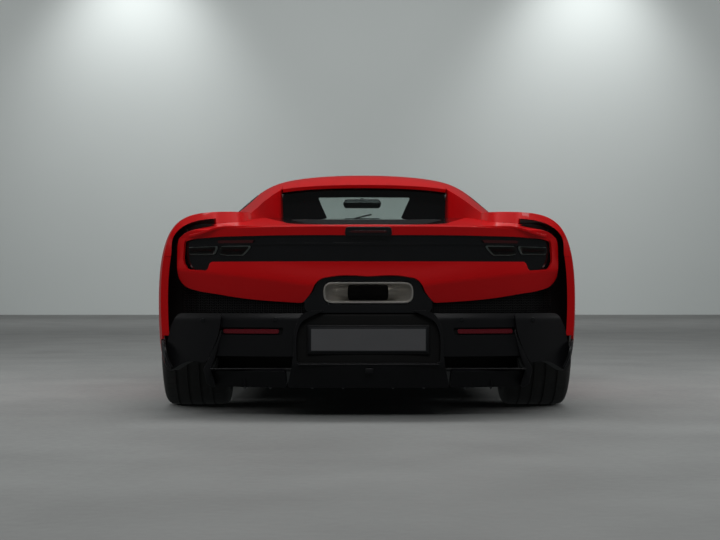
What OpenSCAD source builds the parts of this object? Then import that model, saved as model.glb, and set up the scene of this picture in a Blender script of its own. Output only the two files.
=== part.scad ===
// A two-seat mid-engined supercar, as separate panels, glass, cabin pieces,
// suspension and wheels. +Y is forward, +X is the right-hand side, +Z is up.
// The origin is on the floor under the middle of the body.

/* [Overall] */
// Distance between the front and rear axles
wheelbase = 2600; // [2300:10:3150]
// Nose to front axle
front_overhang = 1105; // [950:5:1330]
// Rear axle to the tail
rear_overhang = 860; // [740:5:1040]
// Width over the rear haunches
body_w = 1958; // [1650:2:2350]
// Height of the roof above the floor
body_h = 1187; // [1100:1:1420]

/* [Panels] */
// Thickness of the painted outer panels
skin = 22; // [15:1:28]
// Thickness of the roof frame and pillars
frame_t = 34; // [28:1:42]
// Thickness of the glass
glass_t = 6; // [4:1:9]
// Shut line between neighbouring panels
gap = 5; // [4:0.5:8]
// Distance from the centre to the inner face of a door
door_in = 772; // [750:1:790]

/* [Wheels] */
// Outside diameter of a front tyre
front_tyre_d = 680; // [600:2:760]
// Outside diameter of a rear tyre
rear_tyre_d = 722; // [640:2:790]
// Width of a front tyre
front_tyre_w = 245; // [205:5:285]
// Width of a rear tyre
rear_tyre_w = 305; // [265:5:335]
// Diameter of the rim over its lips
rim_d = 534; // [480:1:560]
// Distance between the front wheel centres
front_track = 1665; // [1560:1:1720]
// Distance between the rear wheel centres
rear_track = 1602; // [1540:1:1660]
// Free radius between a tyre and its arch
arch_gap = 38; // [34:1:60]
// Radius of the hub bore that runs on the stub axle
hub_bore = 30; // [24:0.5:34]
// Radial running clearance of the hub bore
bore_clear = 0.05; // [0.02:0.01:0.08]
// Radius of the brake disc
disc_r = 199; // [170:1:205]

/* [Steering] */
// Radius of the steering wheel rim's centre line
steer_r = 178; // [165:1:190]
// Thickness of the steering wheel rim
steer_rim = 30; // [24:1:36]

/* [Fittings] */
// Width of the number plate
plate_w = 520; // [300:5:560]
// Height of the number plate
plate_h = 114; // [100:1:160]
// Width of the oval exhaust tip
tip_w = 392; // [300:2:420]
// Height of the oval exhaust tip
tip_h = 92; // [70:1:100]
// Wall of the exhaust tip
tip_wall = 9; // [5:1:12]
// Radius of the towing eye's threaded hole
tow_r = 8; // [6:0.5:10]
// Depth of the towing eye's threaded hole
tow_len = 45; // [30:1:60]
// Radius of a jacking pad
jack_r = 38; // [30:1:45]

/* [Hidden] */
$fn = 48;

// The outlines below are drawn for a body of these sizes, and stretched to the real ones.
draw_w = 1958;
draw_h = 1187;
draw_front = 1177.5;
draw_rear = -1422.5;
draw_fo = 1105;
draw_ro = 860;
body_len = front_overhang + wheelbase + rear_overhang;
rear_y = rear_overhang - body_len / 2;
front_y = rear_y + wheelbase;
function X(x) = x * body_w / draw_w;
function Z(z) = z * body_h / draw_h;
function Y(y) =
    y < draw_rear ? rear_y + (y - draw_rear) * rear_overhang / draw_ro
    : y > draw_front ? front_y + (y - draw_front) * front_overhang / draw_fo
    : rear_y + (y - draw_rear) * wheelbase / (draw_front - draw_rear);
function XYZ(p) = [X(p[0]), Y(p[1]), Z(p[2])];

front_arch_r = front_tyre_d / 2 + arch_gap;
rear_arch_r = rear_tyre_d / 2 + arch_gap;
front_z = front_tyre_d / 2;
rear_z = rear_tyre_d / 2;
hub_x = 96;         // half length of a hub bore
belt_gap = 3;       // between a door's top and its glass
floor_z = 118;      // underside of the tub
floor_t = 26;
sill_x = X(866);    // outer face of the tub's sills
seat_gap = 0.3;     // clearance where one piece sits on another
jamb_x = X(760);    // outer face of the posts behind and ahead of the doors
rear_arch_in = rear_track / 2 - rear_tyre_w / 2 - 83.5;   // inner face of a rear arch liner
bulkhead_y = -640;  // front face of the wall behind the seats
cowl_y = 905;

// ---- Smooth nets: a cubic B-spline surface through rows of control points ----

function flip(p) = [-p[0], p[1], p[2]];
function past(a, b) = 2 * a - b;
function weight(t, k) = k == 0 ? pow(1 - t, 3) / 6
    : k == 1 ? (3 * t * t * t - 6 * t * t + 4) / 6
    : k == 2 ? (-3 * t * t * t + 3 * t * t + 3 * t + 1) / 6
    : t * t * t / 6;
// One row with its two ghost points: straight on at the bottom, mirrored at the centre line
function padded_row(row) = let (n = len(row))
    concat([past(row[0], row[1])], row, [flip(row[n - 2])]);
// round_nose mirrors the last row in the centre plane, where the nose closes on itself
function padded_net(net, round_nose) = let (n = len(net))
    concat([padded_row(past(net[0], net[1]))], [for (r = net) padded_row(r)],
        [round_nose ? padded_row([for (p = net[n - 2]) flip(p)])
                    : padded_row(past(net[n - 1], net[n - 2]))]);
function spline(points, i, t) =
    weight(t, 0) * points[i] + weight(t, 1) * points[i + 1]
    + weight(t, 2) * points[i + 2] + weight(t, 3) * points[i + 3];
function refine(points, steps) = let (cells = len(points) - 3)
    concat([for (i = [0:cells - 1], k = [0:steps - 1]) spline(points, i, k / steps)],
        [spline(points, cells - 1, 1)]);
function transpose(rows) = [for (j = [0:len(rows[0]) - 1]) [for (r = rows) r[j]]];
// Rows along the length, each from the lowest line to the centre line
function surface_of(net, along, across, round_nose) = let (
    padded = padded_net(net, round_nose),
    sections = [for (row = padded) refine(row, across)])
    transpose([for (line = transpose(sections)) refine(line, along)]);

// A closed right-hand half: each row runs on down the centre plane to low_z
module half_solid(rows, low_z) {
    overlap = -1;
    loops = [for (r = rows) let (top = r[len(r) - 1])
        concat([[r[0][0], r[0][1], low_z]], r, [[overlap, top[1], top[2]], [overlap, top[1], low_z]])];
    n = len(loops[0]);
    m = len(loops);
    points = [for (l = loops, p = l) p];
    skin_faces = [for (i = [0:m - 2], j = [0:n - 1]) let (
        a = i * n + j, b = i * n + (j + 1) % n, c = a + n, d = b + n)
        each [[a, b, d], [a, d, c]]];
    ends = [for (j = [1:n - 2]) each [[n - 1, j, j - 1],
        [m * n - 1, (m - 1) * n + j - 1, (m - 1) * n + j]]];
    polyhedron(points, concat(skin_faces, ends));
}

// ---- The body's lines: each row is a section, from the sill to the centre line ----

function section(y, pts) = [for (p = pts) [p[0], y, p[1]]];
function hood_z(y) = y < 1178 ? 842 - (y - 760) * 0.134
    : y < 1700 ? 786 - (y - 1178) * 0.215 - pow((y - 1178) / 522, 2) * 34
    : 640 - (y - 1700) * 0.33 - pow((y - 1700) / 560, 2) * 36;
function crown(x, y) = 34 * exp(-pow((x - 745) / 130, 2)) * min(1, max(0, (2150 - y) / 500));

// A section of the nose, from the outline at the side or front towards the middle of the bonnet
function nose_section(x, y, z3, z4, z5, pole_y) = let (
    c = [0, pole_y],
    o = [x, y],
    n = norm(o - c),
    at = function (r) c + (o - c) * r,
    p = function (r, z) let (q = at(r)) [q[0], q[1], z],
    top = function (r) let (q = at(r)) [q[0], q[1], hood_z(q[1]) + crown(q[0], q[1])])
    [p(1 - 50 / n, 122), p(1, 170), p(1, 262), p(1, z3), p(1 - 6 / n, z4),
     p(1 - 34 / n, z5), top(1 - 105 / n), top(1 - 210 / n), top(0.62), top(0.3), top(0)];

BODY_LINES = [
    section(-2165, [[862, 215], [888, 260], [900, 340], [908, 480], [905, 625], [890, 745],
        [850, 838], [775, 884], [640, 896], [380, 890], [0, 885]]),
    section(-1980, [[890, 190], [920, 245], [932, 340], [938, 490], [934, 632], [916, 752],
        [873, 850], [785, 898], [640, 907], [390, 900], [0, 892]]),
    section(-1760, [[917, 160], [952, 232], [964, 340], [968, 495], [964, 638], [944, 760],
        [897, 862], [804, 912], [635, 916], [400, 908], [0, 898]]),
    section(-1422, [[932, 140], [968, 222], [979, 340], [980, 500], [977, 642], [957, 764],
        [908, 870], [806, 922], [625, 926], [400, 918], [0, 905]]),
    section(-1130, [[925, 130], [955, 195], [965, 320], [975, 490], [975, 640], [956, 762],
        [908, 862], [812, 915], [640, 922], [420, 918], [0, 910]]),
    section(-880, [[905, 125], [938, 170], [936, 300], [952, 470], [966, 632], [952, 752],
        [908, 846], [825, 902], [680, 918], [440, 920], [0, 915]]),
    section(-620, [[895, 122], [932, 160], [908, 295], [918, 450], [948, 612], [940, 732],
        [902, 822], [838, 882], [730, 915], [480, 925], [0, 925]]),
    section(-280, [[893, 120], [932, 158], [893, 290], [900, 440], [934, 594], [930, 716],
        [893, 804], [838, 868], [740, 905], [480, 920], [0, 925]]),
    section(120, [[893, 120], [932, 158], [892, 290], [904, 440], [935, 584], [928, 700],
        [888, 790], [832, 856], [730, 892], [480, 905], [0, 910]]),
    section(480, [[895, 120], [932, 160], [905, 295], [925, 440], [942, 574], [928, 684],
        [884, 776], [818, 838], [700, 865], [450, 880], [0, 885]]),
    section(780, [[898, 122], [936, 170], [935, 305], [950, 440], [956, 572], [938, 690],
        [892, 780], [806, 832], [650, 840], [400, 842], [0, 842]]),
    section(1178, [[905, 130], [948, 200], [958, 310], [965, 445], [963, 575], [948, 694],
        [900, 782], [790, 828], [615, 808], [360, 788], [0, 785]]),
    section(1430, [[900, 128], [942, 190], [953, 300], [957, 430], [950, 550], [926, 656],
        [866, 738], [756, 772], [590, 748], [340, 730], [0, 722]]),
    nose_section(925, 1660, 420, 510, 590, 1440),
    nose_section(885, 1850, 408, 478, 548, 1450),
    nose_section(805, 2010, 395, 455, 515, 1460),
    nose_section(665, 2130, 382, 437, 490, 1470),
    nose_section(480, 2210, 372, 425, 474, 1480),
    nose_section(270, 2262, 366, 418, 464, 1490),
    nose_section(0, 2292.7, 364, 415, 460, 1500)];

CABIN_LINES = [
    section(-1930, [[606, 862], [584, 866], [562, 869], [540, 870], [515, 869], [460, 866],
        [240, 863], [0, 862]]),
    section(-1750, [[622, 878], [594, 885], [566, 891], [538, 894], [510, 895], [450, 893],
        [240, 890], [0, 889]]),
    section(-1400, [[655, 895], [618, 913], [582, 930], [546, 944], [510, 954], [440, 960],
        [240, 962], [0, 963]]),
    section(-1050, [[700, 895], [642, 926], [592, 957], [546, 985], [504, 1006], [430, 1022],
        [240, 1032], [0, 1035]]),
    section(-750, [[745, 890], [676, 938], [614, 984], [558, 1024], [504, 1058], [430, 1080],
        [240, 1098], [0, 1102]]),
    section(-500, [[783, 882], [712, 938], [646, 993], [582, 1045], [516, 1092], [430, 1130],
        [240, 1152], [0, 1158]]),
    section(-250, [[808, 872], [738, 937], [672, 1000], [604, 1060], [532, 1112], [438, 1154],
        [240, 1182], [0, 1190]]),
    section(0, [[818, 862], [753, 927], [691, 992], [622, 1056], [546, 1112], [446, 1153],
        [240, 1179], [0, 1185]]),
    section(250, [[820, 850], [757, 910], [695, 973], [625, 1032], [540, 1082], [430, 1115],
        [230, 1136], [0, 1141]]),
    section(500, [[812, 834], [752, 884], [686, 937], [610, 984], [520, 1018], [400, 1040],
        [210, 1055], [0, 1059]]),
    section(760, [[785, 782], [722, 822], [652, 856], [570, 884], [480, 905], [370, 922],
        [190, 934], [0, 937]]),
    section(1000, [[690, 728], [620, 752], [540, 772], [450, 788], [360, 798], [260, 806],
        [130, 811], [0, 813]])];

// ---- Closed outer and inner volumes, built from the lines ----

body_steps = 2;
cabin_steps = 2;
function inwards(net, t, down) = [for (i = [0:len(net) - 1]) [for (j = [0:len(net[i]) - 1])
    let (p = net[i][j],
        pole = net[i][len(net[i]) - 1],
        flat = norm([p[0] - pole[0], p[1] - pole[1]]),
        share = j < 6 ? 1 : j == 6 ? 0.75 : j == 7 ? 0.45 : 0.15,
        pull = flat < 1 ? [0, 0] : [p[0] - pole[0], p[1] - pole[1]] / flat * t * share,
        drop = j < 5 ? 0 : j == 5 ? 0.35 : j == 6 ? 0.75 : 1)
    [p[0] - pull[0], p[1] - pull[1], p[2] - down * drop]]];
function inwards_cabin(net, t) = [for (row = net) [for (j = [0:len(row) - 1]) let (
    lean = j < 4 ? 0.75 : j < 6 ? 0.4 : 0)
    [max(0, row[j][0] - t * lean), row[j][1], row[j][2] - t * (j < 4 ? 0.7 : 1)]]];
function real(net) = [for (row = net) [for (p = row) XYZ(p)]];

body_rows = surface_of(real(BODY_LINES), body_steps, body_steps, true);
cabin_rows = surface_of(real(CABIN_LINES), cabin_steps, cabin_steps, false);
body_low = Z(60);
cabin_low = Z(600);

module both() { children(); mirror([1, 0, 0]) children(); }
module side(s) { if (s > 0) children(); else mirror([1, 0, 0]) children(); }

// ---- Prisms: outlines drawn from the side, from above and from behind ----

function side_points(pts) = [for (p = pts) [Y(p[0]), Z(p[1])]];
function plan_points(pts) = [for (p = pts) [X(p[0]), Y(p[1])]];
function rear_points(pts) = [for (p = pts) [X(p[0]), Z(p[1])]];
module from_side(x0, x1) {
    translate([x0, 0, 0]) rotate([90, 0, 90]) linear_extrude(x1 - x0) children();
}
module from_above(z0, z1) { translate([0, 0, z0]) linear_extrude(z1 - z0) children(); }
module from_behind(y0, y1) {
    translate([0, y1, 0]) rotate([90, 0, 0]) linear_extrude(y1 - y0) children();
}
module along_x(r, x0, x1) { translate([x0, 0, 0]) rotate([0, 90, 0]) cylinder(r = r, h = x1 - x0); }
module front_arch(x0, x1) { translate([0, front_y, front_z]) along_x(front_arch_r, x0, x1); }
module rear_arch(x0, x1) { translate([0, rear_y, rear_z]) along_x(rear_arch_r, x0, x1); }

// A run of rows, so that a panel is cut from its own stretch of the body only
function rows_of(rows, first, last) = [for (i = [first:last]) rows[i]];
function inner_body(t) =
    surface_of(inwards(real(BODY_LINES), t, t), body_steps, body_steps, true);
function inner_cabin(t) =
    surface_of(inwards_cabin(real(CABIN_LINES), t), cabin_steps, cabin_steps, false);
module body_part(first, last) { half_solid(rows_of(body_rows, first, last), body_low); }
module body_skin(t, first, last) {
    difference() {
        body_part(first, last);
        translate([-0.5, 0, 0]) half_solid(rows_of(inner_body(t), first, last), body_low - 20);
    }
}
module cabin_part(first, last) { half_solid(rows_of(cabin_rows, first, last), cabin_low); }
module cabin_skin(t, first, last) {
    difference() {
        cabin_part(first, last);
        translate([-0.5, 0, 0]) half_solid(rows_of(inner_cabin(t), first, last), cabin_low - 20);
    }
}
// The body lifted a little, for trimming what stands on it
module lifted_body(lift, first, last) { translate([0, 0, lift]) body_part(first, last); }
module block(x0, x1, y0, y1, z0, z1) { translate([x0, y0, z0]) cube([x1 - x0, y1 - y0, z1 - z0]); }

wide = 1300;
tall = 1500;
module side_cut(pts, x0 = 1, x1 = wide, grow = 0) {
    from_side(x0, x1) offset(delta = grow) polygon(side_points(pts));
}
module plan_cut(pts, z0 = 0, z1 = tall, grow = 0) {
    from_above(z0, z1) offset(delta = grow) polygon(plan_points(pts));
}

// Bands that follow an outline, for the flanges behind a panel's edge
module plan_chain(pts, r) {
    for (i = [0:len(pts) - 2]) hull() for (p = plan_points([pts[i], pts[i + 1]]))
        translate([p[0], p[1], 0]) cylinder(r = r, h = tall, $fn = 4);
}
module side_chain(pts, r, x0) {
    for (i = [0:len(pts) - 2]) hull() for (p = side_points([pts[i], pts[i + 1]]))
        translate([x0, p[0], p[1]]) rotate([0, 90, 0]) cylinder(r = r, h = wide - x0, $fn = 4);
}
module arch_chain(y, z, r, t) {
    for (a = [-20:20:180]) translate([X(700), y, z]) hull() for (b = [a, a + 20])
        rotate([b, 0, 0]) translate([0, r - 10, -1]) cube([500, t + 10, 2]);
}

// ---- Outlines of the panels ----

DOOR = [[600, 1000], [606, 850], [632, 700], [640, 500], [630, 300], [600, 214], [-560, 214],
    [-590, 300], [-680, 500], [-720, 650], [-704, 800], [-655, 890], [-640, 1000]];
SIDE_WINDOW = [[590, 800], [590, 882], [500, 934], [380, 983], [150, 1048], [-100, 1078], [-350, 1070],
    [-540, 1034], [-632, 985], [-640, 930], [-628, 800]];
WINDSCREEN = [[-2, 958], [200, 950], [380, 920], [520, 868], [625, 795], [690, 712],
    [672, 640], [584, 300], [528, 130], [300, 116], [-2, 112]];
BONNET = [[-2, 985], [205, 976], [390, 944], [480, 912], [566, 884], [556, 1150], [520, 1500],
    [468, 1760], [400, 1900], [300, 1962], [150, 1992], [-2, 2000]];
HEADLAMP = [[560, 1700], [640, 1640], [770, 1600], [836, 1612], [852, 1680], [800, 1840],
    [700, 1985], [640, 2010], [585, 1960], [548, 1830]];
BUMPER = [[1500, 0], [1500, 300], [1545, 430], [1700, 470], [1960, 520], [2010, 900],
    [2500, 900], [2500, 0]];
// Inner edge of a rear quarter: buttress, deck and the tail's trailing edge
QUARTER = [[430, -600], [432, -720], [470, -900], [505, -1100], [530, -1400], [560, -1650],
    [605, -1800], [700, -1910], [800, -2000], [880, -2066], [950, -2108], [1100, -2115],
    [1100, -500], [700, -500], [640, -600]];
ENGINE_COVER = [[0, -772], [385, -772], [424, -800], [465, -960], [490, -1100], [480, -1250],
    [440, -1500], [385, -1750], [330, -1925], [270, -1965], [0, -1975]];
WIPER = [[20, 892], [170, 886], [330, 862], [450, 822], [560, 752]];
DECK_LINE = [[-772, 922], [-950, 919], [-1150, 911], [-1400, 896], [-1700, 872], [-2000, 845],
    [-2150, 834], [-2290, 827]];
deck_t = 20;
flange_t = 6;
flange_w = 18;
function lowered(line, d) = [for (p = line) [p[0], p[1] - d]];
function reversed(line) = [for (i = [len(line) - 1:-1:0]) line[i]];
function band(line, top, bottom) = concat(lowered(line, top), reversed(lowered(line, bottom)));

// The tail in plan: flat in the middle and swept forward at its corners
tail_half = 850;
tail_sweep = 192;
function tail_y(x) = -2262 + tail_sweep * pow(abs(x) / tail_half, 2.6);
function tail_line(inset, half) = [for (i = [-12:12]) let (x = half * sin(90 * i / 12))
    [x * (1 - inset / tail_half), tail_y(x) + inset]];
module tail_band(outline, in0, in1, half) {
    intersection() {
        from_above(0, tall) polygon(plan_points(
            concat(tail_line(in0, half), reversed(tail_line(in1, half)))));
        from_behind(Y(-2400), Y(-1700)) polygon(rear_points(outline));
    }
}
function mirrored(half) = concat(half, [for (p = reversed(half)) [-p[0], p[1]]]);

// ---- Tub, floor and structure ----

module round_bar(a, b, r) {
    d = b - a;
    translate(a) rotate([0, acos(d[2] / norm(d)), atan2(d[1], d[0])]) cylinder(r = r, h = norm(d));
}

rail_out = X(480);
rail_in = X(420);
rear_rail_in = X(340);
rear_rail_out = X(400);
arch_in = X(530);
trunk_x = X(400);
trunk_line = [[955, 762], [1640, 590]];
hinge_x = X(905);
hinge_y = Y(740);
hinge_r = 7;
hinge_z0 = 430;
hinge_z1 = 560;
rear_rail_z = Z(215);
rear_rail_top = Z(290);
beam_y = Y(-2150);
beam_rear = beam_y - 26;
beam_half = X(330);
tow_x = X(300);
tow_z = 390;

module sill(s) {
    side(s) {
        block(X(772), sill_x, Y(-975), Y(775), floor_z, 204);
        block(X(700), jamb_x, Y(690), front_y - front_arch_r - liner_t - 1 - seat_gap, floor_z, Z(790));
        block(X(700), jamb_x, rear_y + rear_arch_r + liner_t + 1 + seat_gap, Y(-640), floor_z, Z(700));
        block(X(700), jamb_x, Y(-640), Y(-590), floor_z, Z(850));
        for (y = [-760, 560]) translate([X(819), Y(y), floor_z - 12]) cylinder(r = jack_r, h = 13);
    }
}
module door_hinge(s) {
    side(s) {
        for (z = [hinge_z0 - 26, hinge_z1 + 6])
            translate([0, 0, z]) linear_extrude(20)
                polygon([[jamb_x - 1, hinge_y - 12], [hinge_x, hinge_y - 12],
                    [hinge_x, hinge_y + 12], [jamb_x - 1, hinge_y + 12]]);
        translate([hinge_x, hinge_y, hinge_z0 - 26]) cylinder(r = 12, h = 20);
        translate([hinge_x, hinge_y, hinge_z1 + 6]) cylinder(r = 12, h = 20);
        translate([hinge_x, hinge_y, hinge_z0 - 20]) cylinder(r = hinge_r, h = hinge_z1 - hinge_z0 + 40);
    }
}
module trunk() {
    difference() {
        from_side(-trunk_x, trunk_x) polygon(side_points(concat([[955, 250]], trunk_line, [[1640, 250]])));
        from_side(-trunk_x + 12, trunk_x - 12)
            polygon([[Y(955) + 12, Z(250) + 12], [Y(955) + 12, tall], [Y(1640) - 12, tall],
                [Y(1640) - 12, Z(250) + 12]]);
    }
}
module chassis_tub() {
    color([0.13, 0.13, 0.14]) {
        difference() {
            union() {
                block(-X(773), X(773), Y(-975), Y(775), floor_z, floor_z + floor_t);
                block(-arch_in + 10, arch_in - 10, Y(-1000), Y(2060), floor_z, floor_z + floor_t);
                block(-rear_arch_in + 5, rear_arch_in - 5, Y(-2080), Y(-900), floor_z + 20, floor_z + 36);
            }
            block(-X(600), X(600), Y(-2400), Y(-1935) + seat_gap, 0, 400);
        }
        both() sill(1);
        both() door_hinge(1);
        block(-X(701), X(701), Y(-640), Y(-640) + 24, floor_z, Z(905));
        block(-X(701), X(701), Y(775) - 24, Y(775), floor_z, Z(560));
        block(-arch_in + 10, arch_in - 10, Y(775) - 1, Y(940), Z(540), Z(560));
        block(-arch_in + 10, arch_in - 10, Y(940) - 20, Y(956), floor_z, Z(762));
        both() {
            block(rail_in, rail_out, Y(770), Y(2050), Z(250), Z(330));
            block(rail_in, rail_out, Y(1040), Y(1320), Z(250), Z(600));
            block(rail_in, rail_out, Y(1990), Y(2050), floor_z, Z(260));
            block(rear_rail_in, rear_rail_out, Y(-1990), Y(-630), rear_rail_z, rear_rail_top);
            block(beam_half - 60, beam_half, beam_rear, Y(-1970), Z(240), rear_rail_top);
            block(beam_half - 60, rear_rail_out, Y(-1990), Y(-1940), Z(240), rear_rail_top);
            block(rear_rail_in, rear_rail_out, Y(-1500), Y(-1345), rear_rail_z, Z(620));
            block(rear_rail_in, rear_rail_out, Y(-1100), Y(-1000), floor_z, rear_rail_z + 10);
            block(trunk_x - 1, rail_in + 1, Y(1100), Y(1500), Z(260), Z(320));
        }
        block(-X(560), X(560), Y(2050), Y(2090), Z(280), Z(380));
        trunk();
        // Rear crash beam, drilled for the towing eye
        difference() {
            union() {
                block(-beam_half, beam_half, beam_rear, beam_y, Z(240), Z(430));
                block(tow_x - 28, tow_x + 28, beam_rear, beam_rear + tow_len + 10, tow_z - 28, tow_z + 28);
            }
            translate([tow_x, beam_rear - 1, tow_z]) rotate([-90, 0, 0]) cylinder(r = tow_r, h = tow_len + 1);
        }
        // Rails that the engine cover rests on
        both() intersection() {
            from_side(X(350), X(372)) polygon(side_points(concat(
                lowered([for (i = [0:3]) DECK_LINE[i]], deck_t + seat_gap), [[-1400, 600], [-772, 600]])));
            block(0, wide, Y(-1330), Y(-800), 0, tall);
        }
        both() block(X(350), X(372), Y(-800), Y(-630), Z(600), Z(640));
        both() block(X(350), X(372), Y(-1390), Y(-1330), Z(600), Z(640));
    }
}

module side_skirts() {
    color([0.03, 0.03, 0.035]) both() difference() {
        intersection() {
            body_skin(90, 8, 22);
            side_cut([[-985, 104], [-985, 203], [775, 203], [775, 104]], sill_x + seat_gap);
        }
        front_arch(0, wide);
        rear_arch(0, wide);
    }
}

liner_t = 3;
module liner(y, z, r, x0, x1, low) {
    translate([0, y, z]) difference() {
        along_x(r + liner_t, x0, x1);
        along_x(r, x0 + liner_t, x1 + 1);
        block(x0 - 1, x1 + 1, -r - 10, r + 10, -r - 10, low);
        block(x0 - 1, x0 + liner_t + 1, -r * 0.7, r * 0.7, low - 1, 245);
    }
}
module arch_liners() {
    color([0.05, 0.05, 0.05]) both() {
        liner(front_y, front_z, front_arch_r + 1, arch_in, X(870), -125);
        liner(rear_y, rear_z, rear_arch_r + 1, rear_arch_in, X(890), -130);
    }
}

// ---- Front end ----

module front_region() { side_cut(BUMPER, 0); }
module intake_cuts(grow) {
    from_behind(Y(1900), Y(2500)) offset(delta = grow) polygon(rear_points(
        [[-20, 150], [-20, 268], [400, 262], [430, 150]]));
    from_behind(Y(1750), Y(2500)) offset(delta = grow) polygon(rear_points(
        [[500, 175], [520, 330], [740, 360], [800, 300], [770, 180]]));
}
module front_bumper() {
    color([0.62, 0.03, 0.03]) {
        both() difference() {
            union() {
                intersection() { body_skin(skin, 24, 38); front_region(); block(-1, wide, 0, 2500, 118, tall); }
                intersection() {
                    body_skin(skin + flange_t, 24, 38);
                    front_region();
                    arch_chain(front_y, front_z, front_arch_r, flange_w);
                }
            }
            intake_cuts(0);
            plan_cut(HEADLAMP, Z(430), tall, 0.5);
            plan_cut(BONNET, Z(430), tall, gap);
            front_arch(0, wide);
        }
        both() intersection() {
            body_part(24, 38);
            block(X(100), X(160), Y(2090) + seat_gap, Y(2300), Z(300), Z(340));
        }
    }
}
module front_splitter() {
    color([0.03, 0.03, 0.035]) {
        translate([0, 0, 99]) linear_extrude(18) polygon(plan_points(mirrored([[900, 1590], [880, 1760],
            [815, 1945], [700, 2080], [520, 2185], [300, 2245], [100, 2268]])));
        both() block(rail_in, rail_out, Y(1900), Y(1960), 116, floor_z - seat_gap);
        both() block(X(0), X(415), Y(2060) + seat_gap, Y(2060) + 14, 116, Z(275));
        both() block(arch_in - 9, X(780), Y(1760), Y(1774), 116, Z(345));
    }
}
module front_fender(s) {
    side(s) {
        difference() {
            intersection() {
                union() {
                    body_skin(skin, 18, 34);
                    intersection() {
                        body_skin(skin + flange_t, 18, 34);
                        arch_chain(front_y, front_z, front_arch_r, flange_w);
                    }
                }
                block(X(375), wide, Y(560), Y(2300), 118, tall);
            }
            side_cut(DOOR, 1, wide, gap + 3);
            side_cut([[400, 0], [400, 207], [780, 207], [780, 0]]);
            side_cut(BUMPER, 0, wide, gap);
            side_cut([[1400, 0], [1400, 200], [1600, 200], [1600, 0]]);
            plan_cut(HEADLAMP, Z(430), tall, 0.5);
            plan_cut(BONNET, Z(430), tall, gap);
            plan_cut(concat(WINDSCREEN, [[-2, -800]]), Z(430), tall, 3);
            side_cut([[300, 700], [300, 1300], [596, 1300], [596, 700]]);
            plan_cut([[0, 560], [0, 900], [560, 880], [640, 790], [720, 700], [752, 560]]);
            front_arch(0, wide);
        }
        intersection() {
            body_part(18, 24);
            block(jamb_x + seat_gap, wide, Y(755), Y(775), Z(250), Z(280));
        }
    }
}
module left_front_fender() { color([0.62, 0.03, 0.03]) front_fender(-1); }
module right_front_fender() { color([0.62, 0.03, 0.03]) front_fender(1); }
module headlamps() {
    color([0.75, 0.78, 0.8]) both() difference() {
        intersection() {
            union() {
                body_skin(60, 25, 37);
                intersection() { body_skin(60 + flange_t, 25, 37); plan_chain(HEADLAMP, flange_w); }
            }
            plan_cut(HEADLAMP, Z(440));
        }
        front_arch(0, wide);
    }
}
hood_axis = [0, Y(878), Z(834)];
module bonnet() {
    color([0.62, 0.03, 0.03]) both() {
        intersection() {
            union() {
                body_skin(skin, 18, 38);
                intersection() { body_skin(skin + flange_t, 18, 38); plan_chain(BONNET, flange_w); }
            }
            plan_cut(BONNET, Z(470));
        }
        // Rubber stops, down to the trunk's sloping rim
        difference() {
            intersection() {
                body_part(18, 38);
                union() for (y = [1010, 1580]) block(trunk_x - 12, trunk_x, Y(y), Y(y) + 16, Z(500), tall);
            }
            side_cut([[955, 762 + seat_gap], [1640, 590 + seat_gap], [1640, 200], [955, 200]], -5);
        }
    }
}

// ---- Glass and roof ----

module windscreen() {
    color([0.2, 0.26, 0.26, 0.5]) both() difference() {
        intersection() {
            union() {
                cabin_skin(glass_t, 14, 22);
                // Parked wiper blades, lying on the glass
                difference() {
                    intersection() { translate([0, 0, 16]) cabin_part(14, 22); plan_chain(WIPER, 7); }
                    translate([0, 0, -2]) cabin_part(14, 22);
                }
            }
            plan_cut(WINDSCREEN, 0, tall, -seat_gap);
        }
        lifted_body(gap, 12, 26);
    }
}
module roof() {
    color([0.62, 0.03, 0.03]) both() difference() {
        intersection() {
            union() {
                cabin_skin(frame_t, 6, 22);
                intersection() { cabin_skin(frame_t + flange_t, 6, 22); plan_chain(WINDSCREEN, 16); }
            }
            plan_cut([[-5, -752], [429, -752], [429, -599.7], [900, -599.7], [900, 1100], [-5, 1100]]);
        }
        plan_cut(WINDSCREEN);
        side_cut(SIDE_WINDOW, X(430));
        plan_cut([[-5, 800], [650, 770], [700, 700], [730, 1100], [-5, 1100]]);
        lifted_body(seat_gap, 6, 27);
        intersection() { side_cut(DOOR, 1, wide, gap); block(0, wide, Y(-900), Y(900), 0, Z(900)); }
    }
}
module rear_window() {
    color([0.15, 0.2, 0.2, 0.5])
        from_behind(Y(-634), Y(-634) + glass_t) translate([0, seat_gap])
            polygon(rear_points(mirrored([[404, 905], [412, 935], [392, 1036], [366, 1064]])));
}

// ---- Rear quarters ----

module rear_quarter(s) {
    side(s) {
        difference() {
            intersection() {
                union() {
                    body_skin(skin, 0, 16);
                    intersection() { cabin_part(0, 11); block(0, wide, Y(-2300), Y(-600), Z(893), tall); }
                    intersection() {
                        body_skin(skin + flange_t, 0, 16);
                        arch_chain(rear_y, rear_z, rear_arch_r, flange_w);
                    }
                }
                plan_cut(QUARTER);
                block(0, wide, Y(-2300), Y(-480), 118, tall);
            }
            side_cut(DOOR, 1, wide, gap + 3);
            side_cut(SIDE_WINDOW, X(430), wide, gap);
            side_cut([[-400, 0], [-400, 207], [-990, 207], [-990, 0]]);
            side_cut([[-590, 600], [-400, 600], [-400, 1300], [-600, 1300], [-600, 900]]);
            side_cut([[-600, 500], [-600, 893], [-2300, 893], [-2300, 500]], 0, X(600));
            from_side(0, X(602)) polygon(side_points(concat(lowered(DECK_LINE, -3),
                [[-2290, 500], [-772, 500]])));
            side_cut([[-1600, 0], [-1600, 226], [-2085, 222], [-2085, 700], [-2060, 1000],
                [-2400, 1000], [-2400, 0]]);
            rear_arch(0, wide);
        }
        intersection() {
            body_part(4, 14);
            block(jamb_x + seat_gap, wide, Y(-830), Y(-812), Z(380), Z(420));
        }
    }
}
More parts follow.
